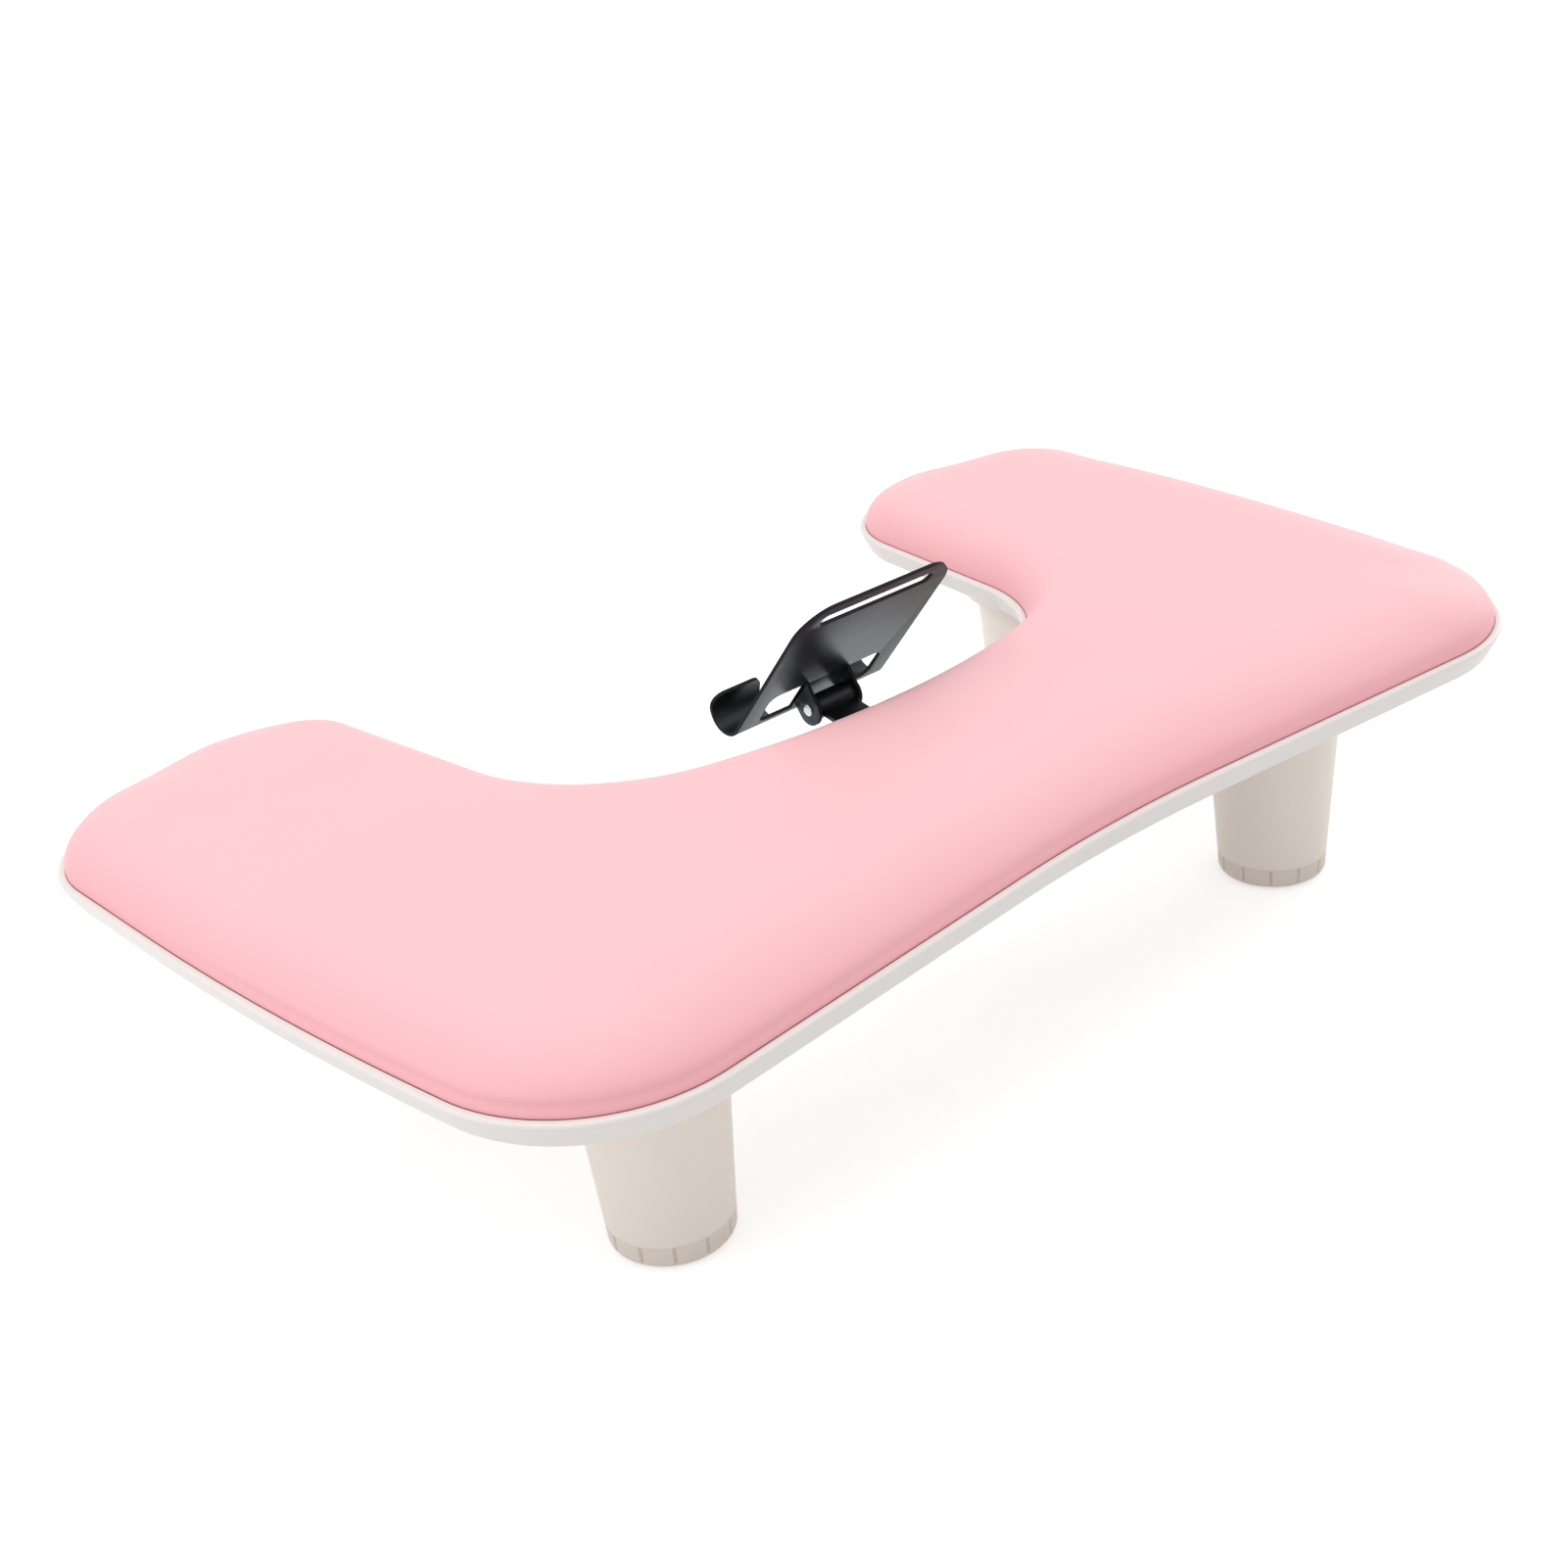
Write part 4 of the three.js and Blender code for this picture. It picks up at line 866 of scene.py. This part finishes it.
def ribbonGrid(path, half):
    # A rounded bar section carried along a path in the upright plane: width along X, thickness
    # along the path's normal
    along = np.gradient(path, axis=0)
    along /= np.linalg.norm(along, axis=1, keepdims=True)
    out = np.column_stack([-along[:, 1], along[:, 0]])
    t, e = arm["thick"] / 2, arm["edge"]
    section = closedRound([(-half, -t), (half, -t), (half, t), (-half, t)], [e] * 4, 4)
    y = path[:, None, 0] + out[:, None, 0] * section[None, :, 1]
    z = path[:, None, 1] + out[:, None, 1] * section[None, :, 1]
    x = np.broadcast_to(section[None, :, 0], y.shape)
    return np.stack([x, y + rowShift, z], -1)


def makeArm():
    # The strap runs from the pin back and down, drops before the rim and turns under the tray
    t = arm["thick"] / 2
    slope = math.tan(math.radians(arm["slope"]))
    middle = arm["dropY"] + t
    corner = (middle, rest["pinZ"] + slope * (middle - rest["pinY"]))
    toe = [(middle, arm["under"] - t), (arm["footEnd"], arm["under"] - t)]
    bend = arm["bend"] + t
    path = rounded([(rest["pinY"] - 3.4, rest["pinZ"] - 3.4 * slope), corner, *toe], [bend, bend], 12)
    strap = ribbonGrid(path, arm["half"])
    columns = strap.shape[1]
    faces = gridFaces(len(strap), columns, caps=(True, True))
    pieces = [meshPiece("armStrap", strap, faces, restCoat, 35)]
    footPath = rounded([(middle, arm["under"] + 5), *toe], [bend], 12)
    foot = ribbonGrid(footPath, arm["footHalf"])
    faces = gridFaces(len(foot), columns, caps=(True, True))
    pieces.append(meshPiece("armFoot", foot, faces, restCoat, 35))
    h, r, b = arm["half"], arm["knuckle"], arm["bore"]
    profile = closedRound([(b, -h), (r, -h), (r, h), (b, h)], [0.2, 0.5, 0.5, 0.2], 5)
    grid = turnedGrid(profile, 72)
    grid = np.stack([grid[..., 2], grid[..., 0], grid[..., 1]], -1)
    grid += np.array([0, rest["pinY"] + rowShift, rest["pinZ"]])
    faces = gridFaces(len(profile), 72, wrapRows=True)
    pieces.append(meshPiece("armKnuckle", grid, faces, restCoat, 35))
    return pieces


plate = finish(makePlate(), "phone_rest", "rest_steel", "phone_plate")
for piece in makeEars():
    finish(piece, "phone_rest", "rest_steel")
finish(makePin(), "phone_rest", "pin_steel", "hinge_pin")
strap, foot, knuckle = makeArm()
finish(strap, "armrest", "rest_steel", "phone_arm")
for piece in (foot, knuckle):
    finish(piece, "armrest", "rest_steel")
for side in ("left", "right"):
    nodes["hinge_washer_" + side].material_slots[0].material = washerNylon
    nodes["arm_screw_" + side].material_slots[0].material = restCoat
print("armrest: phone rest made")


stage = {
    "floor": 8.0, "paper": "#E9E9E9", "near": 0.45, "far": 1.7, "glowNear": 0.52, "glowFar": 0.85,
    "sky": 0.7, "skySeen": 1.0,
}


def straightRays(tree):
    # 1 for rays from the camera, mirrored or let through, and 0 for light that falls on things
    path = addNode(tree, "ShaderNodeLightPath")
    seen = addNode(tree, "ShaderNodeMath", {"operation": "MAXIMUM"},
                   {0: path.outputs["Is Camera Ray"], 1: path.outputs["Is Glossy Ray"]})
    through = addNode(tree, "ShaderNodeMath", {"operation": "MAXIMUM"},
                      {0: seen.outputs[0], 1: path.outputs["Is Transmission Ray"]})
    return through.outputs[0]


def makeFloor():
    # A plain sheet of pale paper. To the camera it glows a little more with distance, so that it
    # stays white to the horizon while it keeps the shadow near the legs
    s = stage["floor"]
    points = np.array([(-s, -s, 0), (s, -s, 0), (s, s, 0), (-s, s, 0)]) / mm
    material, tree, shader, place = newMaterial("floorPaper", {
        "Base Color": hexColour(stage["paper"]), "Roughness": 0.9, "Specular IOR Level": 0.1})
    away = addNode(tree, "ShaderNodeVectorMath", {"operation": "LENGTH"}, {0: place})
    glow = addNode(tree, "ShaderNodeMapRange", {1: stage["near"], 2: stage["far"], 3: stage["glowNear"],
                                                4: stage["glowFar"]}, {0: away.outputs["Value"]})
    strength = addNode(tree, "ShaderNodeMath", {"operation": "MULTIPLY"},
                       {0: glow.outputs[0], 1: straightRays(tree)})
    lit = addNode(tree, "ShaderNodeEmission", {"Color": (1, 1, 1, 1)}, {"Strength": strength.outputs[0]})
    both = addNode(tree, "ShaderNodeAddShader", None, {0: shader.outputs[0], 1: lit.outputs[0]})
    output = next(n for n in tree.nodes if n.type == "OUTPUT_MATERIAL")
    tree.links.new(both.outputs[0], output.inputs["Surface"])
    floor = meshPiece("floor", points, [(0, 1, 2, 3)], material, closed=False)


lamps = {
    "key": {"at": (-0.35, 0.1, 1.8), "size": 1.9, "watts": 12.5},
    "right": {"at": (1.8, 0.0, 0.6), "size": 1.2, "watts": 5.9},
    "left": {"at": (-1.75, 0.5, 0.6), "size": 1.2, "watts": 4.0},
}


def makeLights():
    for name, lamp in lamps.items():
        light = bpy.data.lights.new(name, "AREA")
        light.energy, light.size = lamp["watts"], lamp["size"]
        holder = bpy.data.objects.new(name, light)
        holder.location = lamp["at"]
        aim = Vector((0, 0, 0.1)) - holder.location
        holder.rotation_euler = aim.to_track_quat("-Z", "Y").to_euler()
        bpy.context.scene.collection.objects.link(holder)
    world = bpy.data.worlds.new("softStudio")
    bpy.context.scene.world = world
    world.use_nodes = True
    tree = world.node_tree
    tree.nodes.clear()
    strength = addNode(tree, "ShaderNodeMapRange", {3: stage["sky"], 4: stage["skySeen"]},
                       {0: straightRays(tree)})
    sky = addNode(tree, "ShaderNodeBackground", {"Color": (1, 1, 1, 1)},
                  {"Strength": strength.outputs[0]})
    addNode(tree, "ShaderNodeOutputWorld", None, {"Surface": sky.outputs[0]})


shot = {"yaw": 37.986, "pitch": 26.492, "roll": 6.203, "at": (-474.19, -573.05 + rowShift, 450.14),
        "focal": 2114.8, "side": 1601, "sensor": 36.0, "near": 0.01, "far": 50}


def makeCamera():
    # The camera fitted to the photograph: heading, dip and tilt, and its place in mm
    yaw, pitch, roll = (math.radians(shot[k]) for k in ("yaw", "pitch", "roll"))
    ahead = Vector((math.sin(yaw) * math.cos(pitch), math.cos(yaw) * math.cos(pitch), -math.sin(pitch)))
    right = Vector((math.cos(yaw), -math.sin(yaw), 0))
    down = ahead.cross(right)
    x = right * math.cos(roll) + down * math.sin(roll)
    y = right * math.sin(roll) - down * math.cos(roll)
    turn = Matrix((x, y, -ahead)).transposed()
    lens = bpy.data.cameras.new("photoCamera")
    lens.sensor_width = shot["sensor"]
    lens.lens = shot["focal"] / shot["side"] * shot["sensor"]
    lens.clip_start, lens.clip_end = shot["near"], shot["far"]
    camera = bpy.data.objects.new("photoCamera", lens)
    camera.matrix_world = Matrix.Translation(Vector(shot["at"]) * mm) @ turn.to_4x4()
    bpy.context.scene.collection.objects.link(camera)
    bpy.context.scene.camera = camera


makeFloor()
makeLights()
makeCamera()
bpy.context.scene.view_settings.view_transform = "Standard"
print("armrest: floor, light and camera made")
